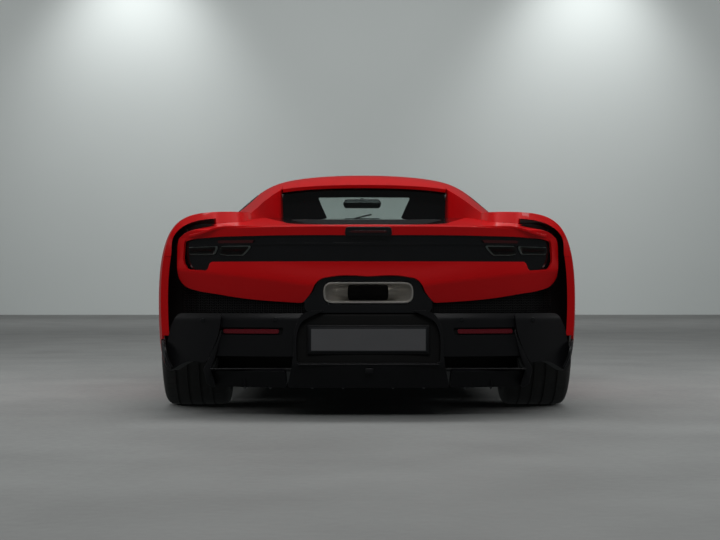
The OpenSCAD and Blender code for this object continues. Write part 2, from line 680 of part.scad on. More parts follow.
module left_rear_quarter() { color([0.62, 0.03, 0.03]) rear_quarter(-1); }
module right_rear_quarter() { color([0.62, 0.03, 0.03]) rear_quarter(1); }

// ---- Tail ----

bumper_out = 20.5;  // how far the lower bumper stands out behind the tail panels
carrier_in = 42;
carrier_t = 16;
module tail_deck() {
    color([0.62, 0.03, 0.03]) {
        difference() {
            intersection() {
                from_side(-X(800), X(800)) polygon(side_points(band(DECK_LINE, 0, deck_t)));
                from_above(0, tall) polygon(plan_points(mirrored([[470, -1300], [597, -1300],
                    [597, -1840], [700, -1960], [770, -2050], [760, -2130], [600, -2185],
                    [400, -2220], [200, -2236]])));
            }
            both() plan_cut(concat(ENGINE_COVER, [[0, -700]]), 0, tall, gap);
        }
        tail_band(mirrored([[200, 792], [500, 790], [680, 784], [780, 772], [815, 757], [828, 762],
            [785, 796], [690, 816], [500, 825], [200, 828]]), 0, carrier_in - seat_gap, tail_half);
    }
}
EXHAUST_BAY = [[285, 480], [262, 560], [225, 606], [-225, 606], [-262, 560], [-285, 480]];
module tail_panel() {
    color([0.62, 0.03, 0.03]) difference() {
        tail_band(mirrored([[848, 671], [850, 600], [835, 562], [800, 549], [640, 532],
            [400, 506], [300, 497]]), 0, carrier_in - seat_gap, tail_half);
        from_behind(Y(-2400), Y(-1900)) polygon(rear_points(EXHAUST_BAY));
    }
}
module lamp_panel() {
    color([0.02, 0.02, 0.022])
        tail_band(mirrored([[845, 671 + seat_gap], [850, 700], [838, 744], [780, 768], [400, 780]]),
            10, carrier_in - seat_gap, tail_half);
}
module tail_lamps() {
    color([0.25, 0.02, 0.02]) for (s = [1, -1]) {
        tail_band([[s * 830, 690], [s * 838, 735], [s * 700, 757], [s * 560, 757], [s * 575, 690]],
            -4, 10 - seat_gap, tail_half);
        tail_band([[s * 540, 690], [s * 525, 757], [s * 310, 760], [s * 330, 690]],
            -4, 10 - seat_gap, tail_half);
    }
}
plate_y = Y(-2256);
plate_z = Z(336);
module rear_bumper() {
    color([0.03, 0.03, 0.035]) {
        // Carrier wall behind the panels, with its sides running forward inside the quarters
        difference() {
            union() {
                tail_band(mirrored([[860, 180], [860, 740], [780, 790], [300, 803]]),
                    carrier_in, carrier_in + carrier_t, tail_half);
                both() block(X(850) * (1 - (carrier_in + carrier_t) / tail_half), X(850) * (1 - carrier_in / tail_half),
                    Y(-2026), Y(-1835), 180, Z(740));
            }
            from_behind(Y(-2400), Y(-1900)) polygon(rear_points(EXHAUST_BAY));
            translate([tow_x, 0, tow_z]) rotate([90, 0, 0]) cylinder(r = tow_r + 12, h = 3000);
        }
        // The visible lower bumper and its ledge
        difference() {
            tail_band(mirrored([[893, 205], [896, 380], [880, 443]]), -bumper_out, carrier_in - 10, 858);
            translate([tow_x, 0, tow_z]) rotate([90, 0, 0]) cylinder(r = tow_r + 12, h = 3000);
            block(-plate_w / 2 - 12, plate_w / 2 + 12, Y(-2300), plate_y, plate_z - plate_h / 2 - 8,
                plate_z + plate_h / 2 + 8);
        }
        tail_band(mirrored([[880, 430], [870, 443], [300, 443]]), -bumper_out, carrier_in + 1, 858);
        tail_band(mirrored([[880, 206], [870, 222], [300, 222]]), -bumper_out, carrier_in + 1, 858);
        both() block(X(150), X(170), Y(-2215), beam_rear - seat_gap, Z(300), Z(340));
        // Diffuser floor and fins
        difference() {
            from_side(-X(840), X(840)) polygon(side_points([[-1935, 132], [-1935, 144], [-2215, 222],
                [-2225, 206]]));
            both() plan_cut([[700, -1800], [760, -2300], [1000, -2300], [1000, -1800]]);
        }
        for (x = [-620, -380, -130, 130, 380, 620])
            from_side(X(x) - 5, X(x) + 5) polygon(side_points([[-1950, 130], [-2200, 206],
                [-2185, 128]]));
    }
}
module number_plate() {
    color([0.05, 0.05, 0.055])
        block(-plate_w / 2, plate_w / 2, plate_y - 8, plate_y - seat_gap, plate_z - plate_h / 2,
            plate_z + plate_h / 2);
}
module stadium(w, h) {
    for (s = [-1, 1]) translate([s * (w - h) / 2, 0]) circle(h / 2);
    square([w - h, h], center = true);
}
module exhaust() {
    color([0.6, 0.6, 0.6]) {
        translate([0, Y(-2030), Z(540)]) rotate([90, 0, 0]) difference() {
            linear_extrude(Y(-2030) - Y(-2225)) stadium(tip_w, tip_h);
            translate([0, 0, 40]) linear_extrude(400) stadium(tip_w - 2 * tip_wall, tip_h - 2 * tip_wall);
        }
        block(-X(420), X(420), Y(-2095), Y(-1930), Z(450), Z(620));
        both() block(rear_rail_in, rear_rail_out, Y(-1985), Y(-1945), rear_rail_top + seat_gap, Z(460));
    }
}

// ---- Engine bay ----

module engine() {
    color([0.35, 0.35, 0.37]) {
        block(-X(325), X(325), Y(-1390), Y(-700), Z(230), Z(780));
        block(-X(190), X(190), Y(-1890), Y(-1380), Z(230), Z(560));
        block(-X(380), X(380), Y(-1000), Y(-940), rear_rail_top + seat_gap, Z(340));
    }
}
cover_axis = [0, Y(-765), Z(926)];
module engine_cover() {
    color([0.05, 0.05, 0.06]) intersection() {
        from_side(-X(520), X(520)) polygon(side_points(band(DECK_LINE, 0, deck_t)));
        both() plan_cut([for (p = ENGINE_COVER) [max(p[0], -1), p[1]]]);
    }
}

// ---- Doors ----

module door(s) {
    side(s) {
        difference() {
            union() {
                intersection() { body_skin(skin, 8, 22); side_cut(DOOR); block(X(door_in), wide, -2000, 2000, 0, tall); }
                intersection() { body_part(8, 22); side_cut(DOOR, X(door_in), wide, -14); }
            }
            side_cut([[-3000, 0], [3000, 0], [3000, 214], [-3000, 214]]);
            translate([0, 0, -10]) side_cut([[606, 905], [606, 2000], [-900, 2000], [-900, 925]]);
        }
        // Swan-neck hinge arm on the tub's pin
        difference() {
            union() {
                translate([hinge_x, hinge_y, hinge_z0]) cylinder(r = 12, h = hinge_z1 - hinge_z0);
                translate([0, 0, hinge_z0]) linear_extrude(hinge_z1 - hinge_z0)
                    polygon([for (p = [[0, -7], [-56, -16], [-95, -54], [-80, -150], [-96, -150],
                        [-111, -48], [-62, -2], [0, 7]]) [hinge_x + p[0], hinge_y + p[1]]]);
            }
            translate([hinge_x, hinge_y, 0]) cylinder(r = hinge_r + bore_clear, h = tall);
        }
    }
}
module door_glass(s) {
    side(s) difference() {
        intersection() {
            union() {
                cabin_skin(glass_t, 7, 20);
                intersection() { cabin_skin(glass_t + flange_t, 7, 20); side_chain(SIDE_WINDOW, 12, X(430)); }
            }
            side_cut(SIDE_WINDOW, X(430), wide, -gap);
        }
        lifted_body(seat_gap, 6, 22);
    }
}
module door_mirror(s) {
    side(s) difference() {
        union() {
            hull() {
                translate([X(905), Y(560), Z(905)]) sphere(r = 34, $fn = 24);
                translate([X(985), Y(540), Z(912)]) sphere(r = 42, $fn = 24);
                translate([X(940), Y(515), Z(925)]) sphere(r = 40, $fn = 24);
            }
            hull() {
                translate([X(905), Y(555), Z(895)]) sphere(r = 14, $fn = 16);
                translate([X(818), Y(540), Z(828)]) sphere(r = 14, $fn = 16);
            }
        }
        lifted_body(seat_gap, 14, 22);
        translate([seat_gap, 0, seat_gap]) body_part(14, 22);
        block(0, wide, 0, Y(505), 0, tall);
    }
}
module left_door() { color([0.62, 0.03, 0.03]) door(-1); }
module right_door() { color([0.62, 0.03, 0.03]) door(1); }
module left_door_glass() { color([0.15, 0.2, 0.2, 0.5]) door_glass(-1); }
module right_door_glass() { color([0.15, 0.2, 0.2, 0.5]) door_glass(1); }
module left_mirror() { color([0.62, 0.03, 0.03]) door_mirror(-1); }
module right_mirror() { color([0.62, 0.03, 0.03]) door_mirror(1); }

// ---- Cabin ----

driver_x = -X(370);
wheel_centre = [driver_x, Y(330), Z(712)];
column_tilt = 24;
column_way = [0, cos(column_tilt), -sin(column_tilt)];
hub_depth = 30;
module dashboard() {
    color([0.06, 0.06, 0.065]) {
        from_side(-X(690), X(690)) polygon(side_points([[560, 560], [520, 640], [500, 720],
            [540, 772], [640, 800], [740, 790], [750, 560]]));
        from_side(driver_x - 170, driver_x + 170) polygon(side_points([[510, 700], [475, 770],
            [505, 812], [600, 806], [600, 720]]));
        block(-X(95), X(95), Y(-330), Y(700), floor_z + floor_t + seat_gap, Z(420));
        from_side(-X(95), X(95)) polygon(side_points([[250, 400], [500, 640], [560, 640], [700, 400]]));
        round_bar(wheel_centre + column_way * (hub_depth + seat_gap), wheel_centre + column_way * 260, 26);
    }
}
module steering_wheel() {
    color([0.04, 0.04, 0.04]) translate(wheel_centre) rotate([90 - column_tilt, 0, 0]) {
        rotate_extrude($fn = 36) translate([steer_r, 0]) circle(steer_rim / 2, $fn = 8);
        translate([0, 0, -hub_depth]) cylinder(r = 62, h = 45);
        for (a = [-12, 90 + 180, 192]) rotate([0, 0, a])
            translate([0, -14, -14]) cube([steer_r, 28, 16]);
    }
}
module seat(s) {
    color([0.09, 0.085, 0.085]) side(s) {
        from_side(X(370) - 225, X(370) + 225) polygon(side_points([[140, 236], [150, 330], [110, 362],
            [-60, 330], [-180, 322], [-205, 330], [-330, 700], [-400, 850], [-470, 860], [-500, 830],
            [-470, 640], [-400, 420], [-330, 250], [-250, 236]]));
        for (t = [-1, 1]) from_side(X(370) + t * 225 - 40, X(370) + t * 225 + 40)
            polygon(side_points([[130, 240], [110, 400], [-60, 390], [-170, 400], [-250, 620],
                [-300, 740], [-400, 740], [-440, 620], [-370, 380], [-300, 240]]));
        from_side(X(370) - 130, X(370) + 130) polygon(side_points([[-360, 840], [-390, 970],
            [-460, 975], [-490, 850]]));
        for (t = [-1, 1]) block(X(370) + t * 180 - 20, X(370) + t * 180 + 20, Y(-300), Y(120),
            floor_z + floor_t + seat_gap, Z(238));
    }
}
module left_seat() { seat(-1); }
module right_seat() { seat(1); }

// ---- Suspension: wheel positions are local, with +X outboard from the wheel's centre plane ----

king_x = -50;
ball_z = 150;
pin_r = 12;
eye_r = 20;
front_x = front_track / 2;
rear_x = rear_track / 2;
module arm_pair(x_in, r_arm) {
    for (z = [-ball_z, ball_z]) {
        for (y = [-1, 1]) round_bar([king_x - 14, 0, z], [x_in - 30, y * 165, z * 0.72], r_arm);
        translate([king_x, 0, z - 14]) cylinder(r = eye_r, h = 28);
    }
}
module front_arms() {
    color([0.3, 0.3, 0.32]) both() translate([front_x, front_y, front_z]) difference() {
        union() {
            arm_pair(rail_out - front_x, 11);
            round_bar([-265, 0, -130], [-330, 0, 215], 24);
            round_bar([-262, -90, -120], [-262, 90, -120], 11);
        }
        block(-600, rail_out + seat_gap - front_x, -400, 400, -300, 300);
        for (z = [-ball_z - 20, ball_z - 20])
            translate([king_x, 0, z]) cylinder(r = pin_r + bore_clear, h = 40);
    }
}
module stub_and_plate() {
    translate([-84, -46, -128]) cube([48, 92, 256]);
    along_x(62, -84, -30);
    along_x(hub_bore, -40, hub_x);
}
// The caliper straddles the disc behind or ahead of the axle
module caliper(side_y) {
    difference() {
        intersection() {
            along_x(219, -52, 36);
            rotate([side_y > 0 ? -32 : 212, 0, 0]) block(-60, 60, 0, 230, 0, 230);
            rotate([side_y > 0 ? 32 : 148, 0, 0]) block(-60, 60, 0, 230, -230, 0);
        }
        along_x(122, -100, 100);
        along_x(disc_r + 6, -28, 14);
    }
    block(-52, -36, min(0, side_y * 150), max(0, side_y * 150), -40, 40);
}
module knuckle(s) {
    color([0.3, 0.3, 0.32]) side(s) translate([front_x, front_y, front_z]) {
        stub_and_plate();
        for (z = [-ball_z - 20, 120]) translate([king_x, 0, z]) cylinder(r = pin_r, h = 50);
        caliper(-1);
    }
}
module left_knuckle() { knuckle(-1); }
module right_knuckle() { knuckle(1); }
module rear_arms() {
    color([0.3, 0.3, 0.32]) both() translate([rear_x, rear_y, rear_z]) {
        difference() {
            union() {
                arm_pair(rear_rail_out - rear_x, 12);
                stub_and_plate();
                for (z = [-ball_z - 20, 120]) translate([king_x, 0, z]) cylinder(r = pin_r, h = 50);
                caliper(1);
                round_bar([-60, 0, 0], [-700, 0, 20], 22);
                round_bar([-330, 0, -120], [-400, 0, 230], 24);
                round_bar([-335, -100, -120], [-335, 100, -120], 12);
            }
            block(-900, rear_rail_out + seat_gap - rear_x, -400, 400, -300, 300);
        }
        intersection() {
            round_bar([-60, 0, 0], [-700, 0, 20], 22);
            block(rear_rail_out + seat_gap - rear_x, 0, -300, 300, -300, 300);
        }
    }
}

// ---- Wheels: turned about X, with the outboard side at +X ----

bead_r = rim_d / 2 - 11;
module turned(pts) { rotate([0, 90, 0]) rotate_extrude($fn = 96) polygon([for (p = pts) [p[1], p[0]]]); }
module tyre(d, w) {
    r = d / 2;
    h = w / 2;
    lip = rim_d / 2;
    turned([[-h + 10.5, bead_r + seat_gap], [-h + 10.5, lip + 1], [-h + 3, lip + 12], [-h, r - 42],
        [-h + 4, r - 24], [-h + 14, r - 10], [-h + 30, r - 3], [-h + 52, r], [h - 52, r],
        [h - 30, r - 3], [h - 14, r - 10], [h - 4, r - 24], [h, r - 42], [h - 3, lip + 12],
        [h - 10.5, lip + 1], [h - 10.5, bead_r + seat_gap]]);
}
module rim(w) {
    h = w / 2;
    lip = rim_d / 2;
    barrel = bead_r - 14;
    turned([[-h + 1, lip - 6], [-h + 1, lip], [-h + 10, lip], [-h + 10, bead_r], [h - 10, bead_r],
        [h - 10, lip], [h - 1, lip], [h - 1, lip - 6], [h - 8, barrel], [-h + 8, barrel]]);
    difference() {
        union() {
            along_x(68, -20, hub_x - 2);
            along_x(disc_r, -22, 8);
            along_x(92, 8, 24);
            for (i = [0:4]) rotate([i * 72, 0, 0]) for (t = [-1, 1]) rotate([90, 0, 90])
                translate([0, 0, h - 62]) linear_extrude(34)
                    polygon([[t * 4, 40], [t * 30, 50], [t * 66, barrel + 3], [t * 40, barrel + 6]]);
            along_x(74, h - 66, h - 26);
        }
        along_x(hub_bore + bore_clear, -100, hub_x + 0.5);
    }
    along_x(34, hub_x + 0.5, hub_x + 8);
}
module wheel_at(sx, sy) {
    x = sy > 0 ? front_x : rear_x;
    translate([sx * x, sy > 0 ? front_y : rear_y, sy > 0 ? front_z : rear_z])
        if (sx > 0) children(); else mirror([1, 0, 0]) children();
}
module front_left_tyre() { color([0.02, 0.02, 0.02]) wheel_at(-1, 1) tyre(front_tyre_d, front_tyre_w); }
module front_right_tyre() { color([0.02, 0.02, 0.02]) wheel_at(1, 1) tyre(front_tyre_d, front_tyre_w); }
module rear_left_tyre() { color([0.02, 0.02, 0.02]) wheel_at(-1, -1) tyre(rear_tyre_d, rear_tyre_w); }
module rear_right_tyre() { color([0.02, 0.02, 0.02]) wheel_at(1, -1) tyre(rear_tyre_d, rear_tyre_w); }
module front_left_rim() { color([0.5, 0.5, 0.52]) wheel_at(-1, 1) rim(front_tyre_w); }
module front_right_rim() { color([0.5, 0.5, 0.52]) wheel_at(1, 1) rim(front_tyre_w); }
module rear_left_rim() { color([0.5, 0.5, 0.52]) wheel_at(-1, -1) rim(rear_tyre_w); }
module rear_right_rim() { color([0.5, 0.5, 0.52]) wheel_at(1, -1) rim(rear_tyre_w); }

chassis_tub();
side_skirts();
arch_liners();
front_bumper();
front_splitter();
left_front_fender();
right_front_fender();
headlamps();
bonnet();
windscreen();
roof();
rear_window();
left_rear_quarter();
right_rear_quarter();
tail_deck();
tail_panel();
lamp_panel();
tail_lamps();
rear_bumper();
number_plate();
exhaust();
engine();
engine_cover();
left_door();
left_door_glass();
left_mirror();
right_door();
right_door_glass();
right_mirror();
dashboard();
steering_wheel();
left_seat();
right_seat();
front_arms();
rear_arms();
left_knuckle();
right_knuckle();
front_left_tyre();
front_left_rim();
front_right_tyre();
front_right_rim();
rear_left_tyre();
rear_left_rim();
rear_right_tyre();
rear_right_rim();
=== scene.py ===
import math

import bmesh
import bpy
import numpy as np
from mathutils import Matrix, Vector
from mathutils.bvhtree import BVHTree


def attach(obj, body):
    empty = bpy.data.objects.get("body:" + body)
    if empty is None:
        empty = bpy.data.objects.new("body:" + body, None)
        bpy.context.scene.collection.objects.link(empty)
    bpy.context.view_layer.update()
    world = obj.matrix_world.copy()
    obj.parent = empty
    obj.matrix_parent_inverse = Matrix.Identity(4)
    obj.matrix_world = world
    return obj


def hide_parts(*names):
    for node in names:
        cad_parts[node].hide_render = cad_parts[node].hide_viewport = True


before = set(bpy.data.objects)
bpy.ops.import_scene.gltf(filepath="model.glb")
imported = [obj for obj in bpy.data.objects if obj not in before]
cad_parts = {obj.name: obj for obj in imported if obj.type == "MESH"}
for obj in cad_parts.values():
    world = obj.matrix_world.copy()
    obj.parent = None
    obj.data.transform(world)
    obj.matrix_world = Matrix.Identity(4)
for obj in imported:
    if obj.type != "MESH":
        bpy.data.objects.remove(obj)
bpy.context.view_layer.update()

# Lengths below are millimetres, in the frame of the CAD model: +Y forward, +Z up.
MM = 0.001
FRONT_Y, REAR_Y = 1177.5, -1422.5
FRONT_X, REAR_X = 832.5, 801.0
FRONT_R, REAR_R = 340.0, 361.0
ARCH_GAP = 38.0                     # between a tyre and its arch
SHUT = 4.5                          # between two outer panels
TAIL_HALF = 850.0                   # half width over which the tail sweeps forward
TAIL_Y, TAIL_SWEEP, TAIL_CURVE = -2262, 192, 2.6
SNAP = 0.06                         # share of an edge within which a cut moves its end instead


# ---------------------------------------------------------------- smooth nets

def spline(points, steps):
    """Uniform cubic B-spline through control values, refined along the first axis."""
    cells = len(points) - 3
    t = np.arange(cells * steps + 1) / steps
    i = np.minimum(t.astype(int), cells - 1)
    u = t - i
    weights = ((1 - u) ** 3 / 6, (3 * u ** 3 - 6 * u ** 2 + 4) / 6,
               (-3 * u ** 3 + 3 * u ** 2 + 3 * u + 1) / 6, u ** 3 / 6)
    shape = [-1] + [1] * (points.ndim - 1)
    return sum(w.reshape(shape) * points[i + k] for k, w in enumerate(weights))


def surface(net, along, across, closed_nose):
    """Net of control points, rows along the car, each from its low edge to the centre line."""
    flip = np.array([-1.0, 1.0, 1.0])

    def padded(row):
        return np.concatenate([[2 * row[0] - row[1]], row, [row[-2] * flip]])
    last = net[-2] * flip if closed_nose else 2 * net[-1] - net[-2]
    rows = [2 * net[0] - net[1], *net, last]
    grid = np.array([padded(np.array(r)) for r in rows])
    grid = spline(grid, along)
    return spline(grid.transpose(1, 0, 2), across).transpose(1, 0, 2)


def section(y, *points):
    """A row of the net: the (x, z) control points at one y, from the sill up."""
    return np.array([(x, y, z) for x, z in points], dtype=float)


def hood_z(y):
    """The bonnet's height on the centre line."""
    if y < 1178:
        return 842 - (y - 760) * 0.134
    if y < 1700:
        return 786 - (y - 1178) * 0.215 - ((y - 1178) / 522) ** 2 * 34
    return 640 - (y - 1700) * 0.33 - ((y - 1700) / 560) ** 2 * 36


def nose_section(x, y, z3, z4, z5, pole_y):
    """A row of the net round the nose, from its low edge in to a pole under the bonnet."""
    pole, edge = np.array([0.0, pole_y]), np.array([x, y], dtype=float)
    reach = np.linalg.norm(edge - pole)

    def at(share, z=None):
        px, py = pole + (edge - pole) * share
        if z is None:
            z = hood_z(py) + 34 * math.exp(-((px - 745) / 130) ** 2) \
                * min(1, max(0, (2150 - py) / 500))
        return px, py, z
    return np.array([at(1 - 50 / reach, 122), at(1, 170), at(1, 262), at(1, z3),
                     at(1 - 6 / reach, z4), at(1 - 34 / reach, z5), at(1 - 105 / reach),
                     at(1 - 210 / reach), at(0.62), at(0.3), at(0)])


BODY_NET = [
    section(-2165, (862, 215), (888, 260), (900, 340), (908, 480), (905, 625), (890, 745),
            (850, 838), (775, 884), (640, 896), (380, 890), (0, 885)),
    section(-1980, (890, 190), (920, 245), (932, 340), (938, 490), (934, 632), (916, 752),
            (873, 850), (785, 898), (640, 907), (390, 900), (0, 892)),
    section(-1760, (917, 160), (952, 232), (964, 340), (968, 495), (964, 638), (944, 760),
            (897, 862), (804, 912), (635, 916), (400, 908), (0, 898)),
    section(-1422, (932, 140), (968, 222), (979, 340), (980, 500), (977, 642), (957, 764),
            (908, 870), (806, 922), (625, 926), (400, 918), (0, 905)),
    section(-1130, (925, 130), (955, 195), (965, 320), (975, 490), (975, 640), (956, 762),
            (908, 862), (812, 915), (640, 922), (420, 918), (0, 910)),
    section(-880, (905, 125), (938, 170), (936, 300), (952, 470), (966, 632), (952, 752),
            (908, 846), (825, 902), (680, 918), (440, 920), (0, 915)),
    section(-620, (895, 122), (932, 160), (908, 295), (918, 450), (948, 612), (940, 732),
            (902, 822), (838, 882), (730, 915), (480, 925), (0, 925)),
    section(-280, (893, 120), (932, 158), (893, 290), (900, 440), (934, 594), (930, 716),
            (893, 804), (838, 868), (740, 905), (480, 920), (0, 925)),
    section(120, (893, 120), (932, 158), (892, 290), (904, 440), (935, 584), (928, 700),
            (888, 790), (832, 856), (730, 892), (480, 905), (0, 910)),
    section(480, (895, 120), (932, 160), (905, 295), (925, 440), (942, 574), (928, 684),
            (884, 776), (818, 838), (700, 865), (450, 880), (0, 885)),
    section(780, (898, 122), (936, 170), (935, 305), (950, 440), (956, 572), (938, 690),
            (892, 780), (806, 832), (650, 840), (400, 842), (0, 842)),
    section(1178, (905, 130), (948, 200), (958, 310), (965, 445), (963, 575), (948, 694),
            (900, 782), (790, 828), (615, 808), (360, 788), (0, 785)),
    section(1430, (900, 128), (942, 190), (953, 300), (957, 430), (950, 550), (926, 656),
            (866, 738), (756, 772), (590, 748), (340, 730), (0, 722)),
    nose_section(925, 1660, 420, 510, 590, 1440),
    nose_section(885, 1850, 408, 478, 548, 1450),
    nose_section(805, 2010, 395, 455, 515, 1460),
    nose_section(665, 2130, 382, 437, 490, 1470),
    nose_section(480, 2210, 372, 425, 474, 1480),
    nose_section(270, 2262, 366, 418, 464, 1490),
    nose_section(0, 2292.7, 364, 415, 460, 1500)]

CABIN_NET = [
    section(-1930, (606, 862), (584, 866), (562, 869), (540, 870), (515, 869), (460, 866),
            (240, 863), (0, 862)),
    section(-1750, (622, 878), (594, 885), (566, 891), (538, 894), (510, 895), (450, 893),
            (240, 890), (0, 889)),
    section(-1400, (655, 895), (618, 913), (582, 930), (546, 944), (510, 954), (440, 960),
            (240, 962), (0, 963)),
    section(-1050, (700, 895), (642, 926), (592, 957), (546, 985), (504, 1006), (430, 1022),
            (240, 1032), (0, 1035)),
    section(-750, (745, 890), (676, 938), (614, 984), (558, 1024), (504, 1058), (430, 1080),
            (240, 1098), (0, 1102)),
    section(-500, (783, 882), (712, 938), (646, 993), (582, 1045), (516, 1092), (430, 1130),
            (240, 1152), (0, 1158)),
    section(-250, (808, 872), (738, 937), (672, 1000), (604, 1060), (532, 1112), (438, 1154),
            (240, 1182), (0, 1190)),
    section(0, (818, 862), (753, 927), (691, 992), (622, 1056), (546, 1112), (446, 1153),
            (240, 1179), (0, 1185)),
    section(250, (820, 850), (757, 910), (695, 973), (625, 1032), (540, 1082), (430, 1115),
            (230, 1136), (0, 1141)),
    section(500, (812, 834), (752, 884), (686, 937), (610, 984), (520, 1018), (400, 1040),
            (210, 1055), (0, 1059)),
    section(760, (785, 782), (722, 822), (652, 856), (570, 884), (480, 905), (370, 922),
            (190, 934), (0, 937)),
    section(1000, (690, 728), (620, 752), (540, 772), (450, 788), (360, 798), (260, 806),
            (130, 811), (0, 813))]

# ---------------------------------------------------------------- panel outlines

DOOR = [(600, 1000), (606, 850), (632, 700), (640, 500), (630, 300), (600, 214), (-560, 214),
        (-590, 300), (-680, 500), (-720, 650), (-704, 800), (-655, 890), (-640, 1000)]
SIDE_WINDOW = [(590, 800), (590, 882), (500, 934), (380, 983), (150, 1048), (-100, 1078),
               (-350, 1070), (-540, 1034), (-632, 985), (-640, 930), (-628, 800)]
WINDSCREEN = [(-50, 958), (0, 958), (200, 950), (380, 920), (520, 868), (625, 795), (690, 712),
              (672, 640), (584, 300), (528, 130), (300, 116), (0, 112), (-50, 112)]
BONNET = [(-50, 985), (0, 985), (205, 976), (390, 944), (480, 912), (566, 884), (556, 1150),
          (520, 1500), (468, 1760), (400, 1900), (300, 1962), (150, 1992), (0, 2000),
          (-50, 2000)]
HEADLAMP = [(560, 1700), (640, 1640), (770, 1600), (836, 1612), (852, 1680), (800, 1840),
            (700, 1985), (640, 2010), (585, 1960), (548, 1830)]
BUMPER = [(1500, 0), (1500, 300), (1545, 430), (1700, 470), (1960, 520), (2010, 900),
          (2500, 900), (2500, 0)]
QUARTER = [(430, -600), (432, -720), (470, -900), (505, -1100), (530, -1400), (560, -1650),
           (605, -1800), (700, -1910), (800, -2000), (880, -2066), (950, -2108), (1100, -2115),
           (1100, -500), (700, -500), (640, -600)]
ENGINE_COVER = [(-50, -772), (0, -772), (385, -772), (424, -800), (465, -960), (490, -1100),
                (480, -1250), (440, -1500), (385, -1750), (330, -1925), (270, -1965),
                (0, -1975), (-50, -1975)]
DECK_LINE = [(-772, 922), (-950, 919), (-1150, 911), (-1400, 896), (-1700, 872), (-2000, 845),
             (-2150, 834), (-2290, 827)]


def rounded(points, corner=12.0, sharp=48):
    """Runs a smooth curve through an outline, and rounds off the corners sharper than sharp."""
    pts = np.array(points, dtype=float)
    n = len(pts)
    before, after = np.roll(pts, 1, 0), np.roll(pts, -1, 0)
    d0, d1 = pts - before, after - pts
    l0, l1 = np.linalg.norm(d0, axis=1), np.linalg.norm(d1, axis=1)
    u0, u1 = d0 / l0[:, None], d1 / l1[:, None]
    turn = np.degrees(np.arccos(np.clip((u0 * u1).sum(1), -1, 1)))
    tangent = u0 * l1[:, None] + u1 * l0[:, None]
    tangent /= np.linalg.norm(tangent, axis=1)[:, None]
    out = []
    for i in range(n):
        j = (i + 1) % n
        a, b, length = pts[i], pts[j], l1[i]
        ta = tangent[i] if turn[i] < sharp else u1[i]
        tb = tangent[j] if turn[j] < sharp else u1[i]
        cut = min(corner, length * 0.4)
        t0 = cut / length if turn[i] >= sharp else 0
        t1 = 1 - cut / length if turn[j] >= sharp else 1
        for t in np.linspace(t0, t1, 7)[:(7 if t1 < 1 else 6)]:
            h = (2 * t ** 3 - 3 * t ** 2 + 1) * a + (t ** 3 - 2 * t ** 2 + t) * length * ta \
                + (3 * t ** 2 - 2 * t ** 3) * b + (t ** 3 - t ** 2) * length * tb
            out.append(h)
        if t1 < 1:
            tail_end = b - u1[i] * cut
            nxt = b + u1[j] * min(corner, l1[j] * 0.4)
            for t in (0.25, 0.5, 0.75):
                out.append((1 - t) ** 2 * tail_end + 2 * t * (1 - t) * b + t * t * nxt)
    return np.array(out)


def outline_field(points, axes, grow=0.0, corner=12.0, smooth=True):
    """Signed distance to an outline, seen along one axis: below zero inside."""
    pts = rounded(points, corner) if smooth else np.array(points, dtype=float)
    nxt = np.roll(pts, -1, 0)

    def field(co):
        p = co[:, axes]
        best = np.full(len(p), 1e18)
        inside = np.zeros(len(p), dtype=bool)
        for a, b in zip(pts, nxt):
            d = b - a
            size = d @ d
            if size < 1e-9:
                continue
            t = np.clip(((p - a) @ d) / size, 0, 1)
            best = np.minimum(best, ((p - a - t[:, None] * d) ** 2).sum(1))
            if d[1] != 0:
                crossing = (a[1] > p[:, 1]) != (b[1] > p[:, 1])
                inside ^= crossing & (p[:, 0] < a[0] + (p[:, 1] - a[1]) * d[0] / d[1])
        best = np.sqrt(best)
        return np.where(inside, -best, best) - grow
    return field


def side(points, grow=0.0, **kw):
    return outline_field(points, [1, 2], grow, **kw)


def plan(points, grow=0.0, **kw):
    return outline_field(points, [0, 1], grow, **kw)


def rear(points, grow=0.0, **kw):
    return outline_field(points, [0, 2], grow, **kw)


def arch(y, z, r):
    return lambda co: np.hypot(co[:, 1] - y, co[:, 2] - z) - r


def above(axis, value):
    """Below zero where the coordinate is more than value."""
    return lambda co: value - co[:, axis]


def both_of(*fields):
    return lambda co: np.max([f(co) for f in fields], axis=0)


FRONT_ARCH = arch(FRONT_Y, FRONT_R, FRONT_R + ARCH_GAP)
REAR_ARCH = arch(REAR_Y, REAR_R, REAR_R + ARCH_GAP)

# ---------------------------------------------------------------- mesh helpers

def grid_sheet(us, vs, place):
    """A grid of faces, with place giving the point at each pair of steps."""
    return sheet_on(np.array([[place(u, v) for v in vs] for u in us]))


def sheet_on(points):
    """A grid of faces laid on an array of points."""
    rows, cols = points.shape[:2]
    bm = bmesh.new()
    bmesh.ops.create_grid(bm, x_segments=rows - 1, y_segments=cols - 1, size=0.5)
    for v in bm.verts:
        v.co = points[round((v.co.x + 0.5) * (rows - 1)), round((v.co.y + 0.5) * (cols - 1))]
    return bm


def coordinates(bm):
    return np.array([v.co for v in bm.verts]).reshape(-1, 3)


def cut_line(bm, field):
    """Puts an edge line where the field is zero, and returns the field at each vertex."""
    bm.verts.index_update()
    value = field(coordinates(bm))
    value[np.abs(value) < 1e-4] = 0

    def crossed():
        for e in list(bm.edges):
            a, b = e.verts
            fa, fb = value[a.index], value[b.index]
            if fa * fb < 0:
                yield e, a, b, fa / (fa - fb)
    for _, a, b, t in crossed():
        near = a if t < SNAP else b if t > 1 - SNAP else None
        if near is not None:
            near.co = a.co.lerp(b.co, t)
            value[near.index] = 0
    line = [v for v in bm.verts if value[v.index] == 0]
    line += [bmesh.utils.edge_split(e, a, t)[1] for e, a, _, t in crossed()]
    bmesh.ops.connect_verts(bm, verts=line)
    bm.verts.index_update()
    return field(coordinates(bm))


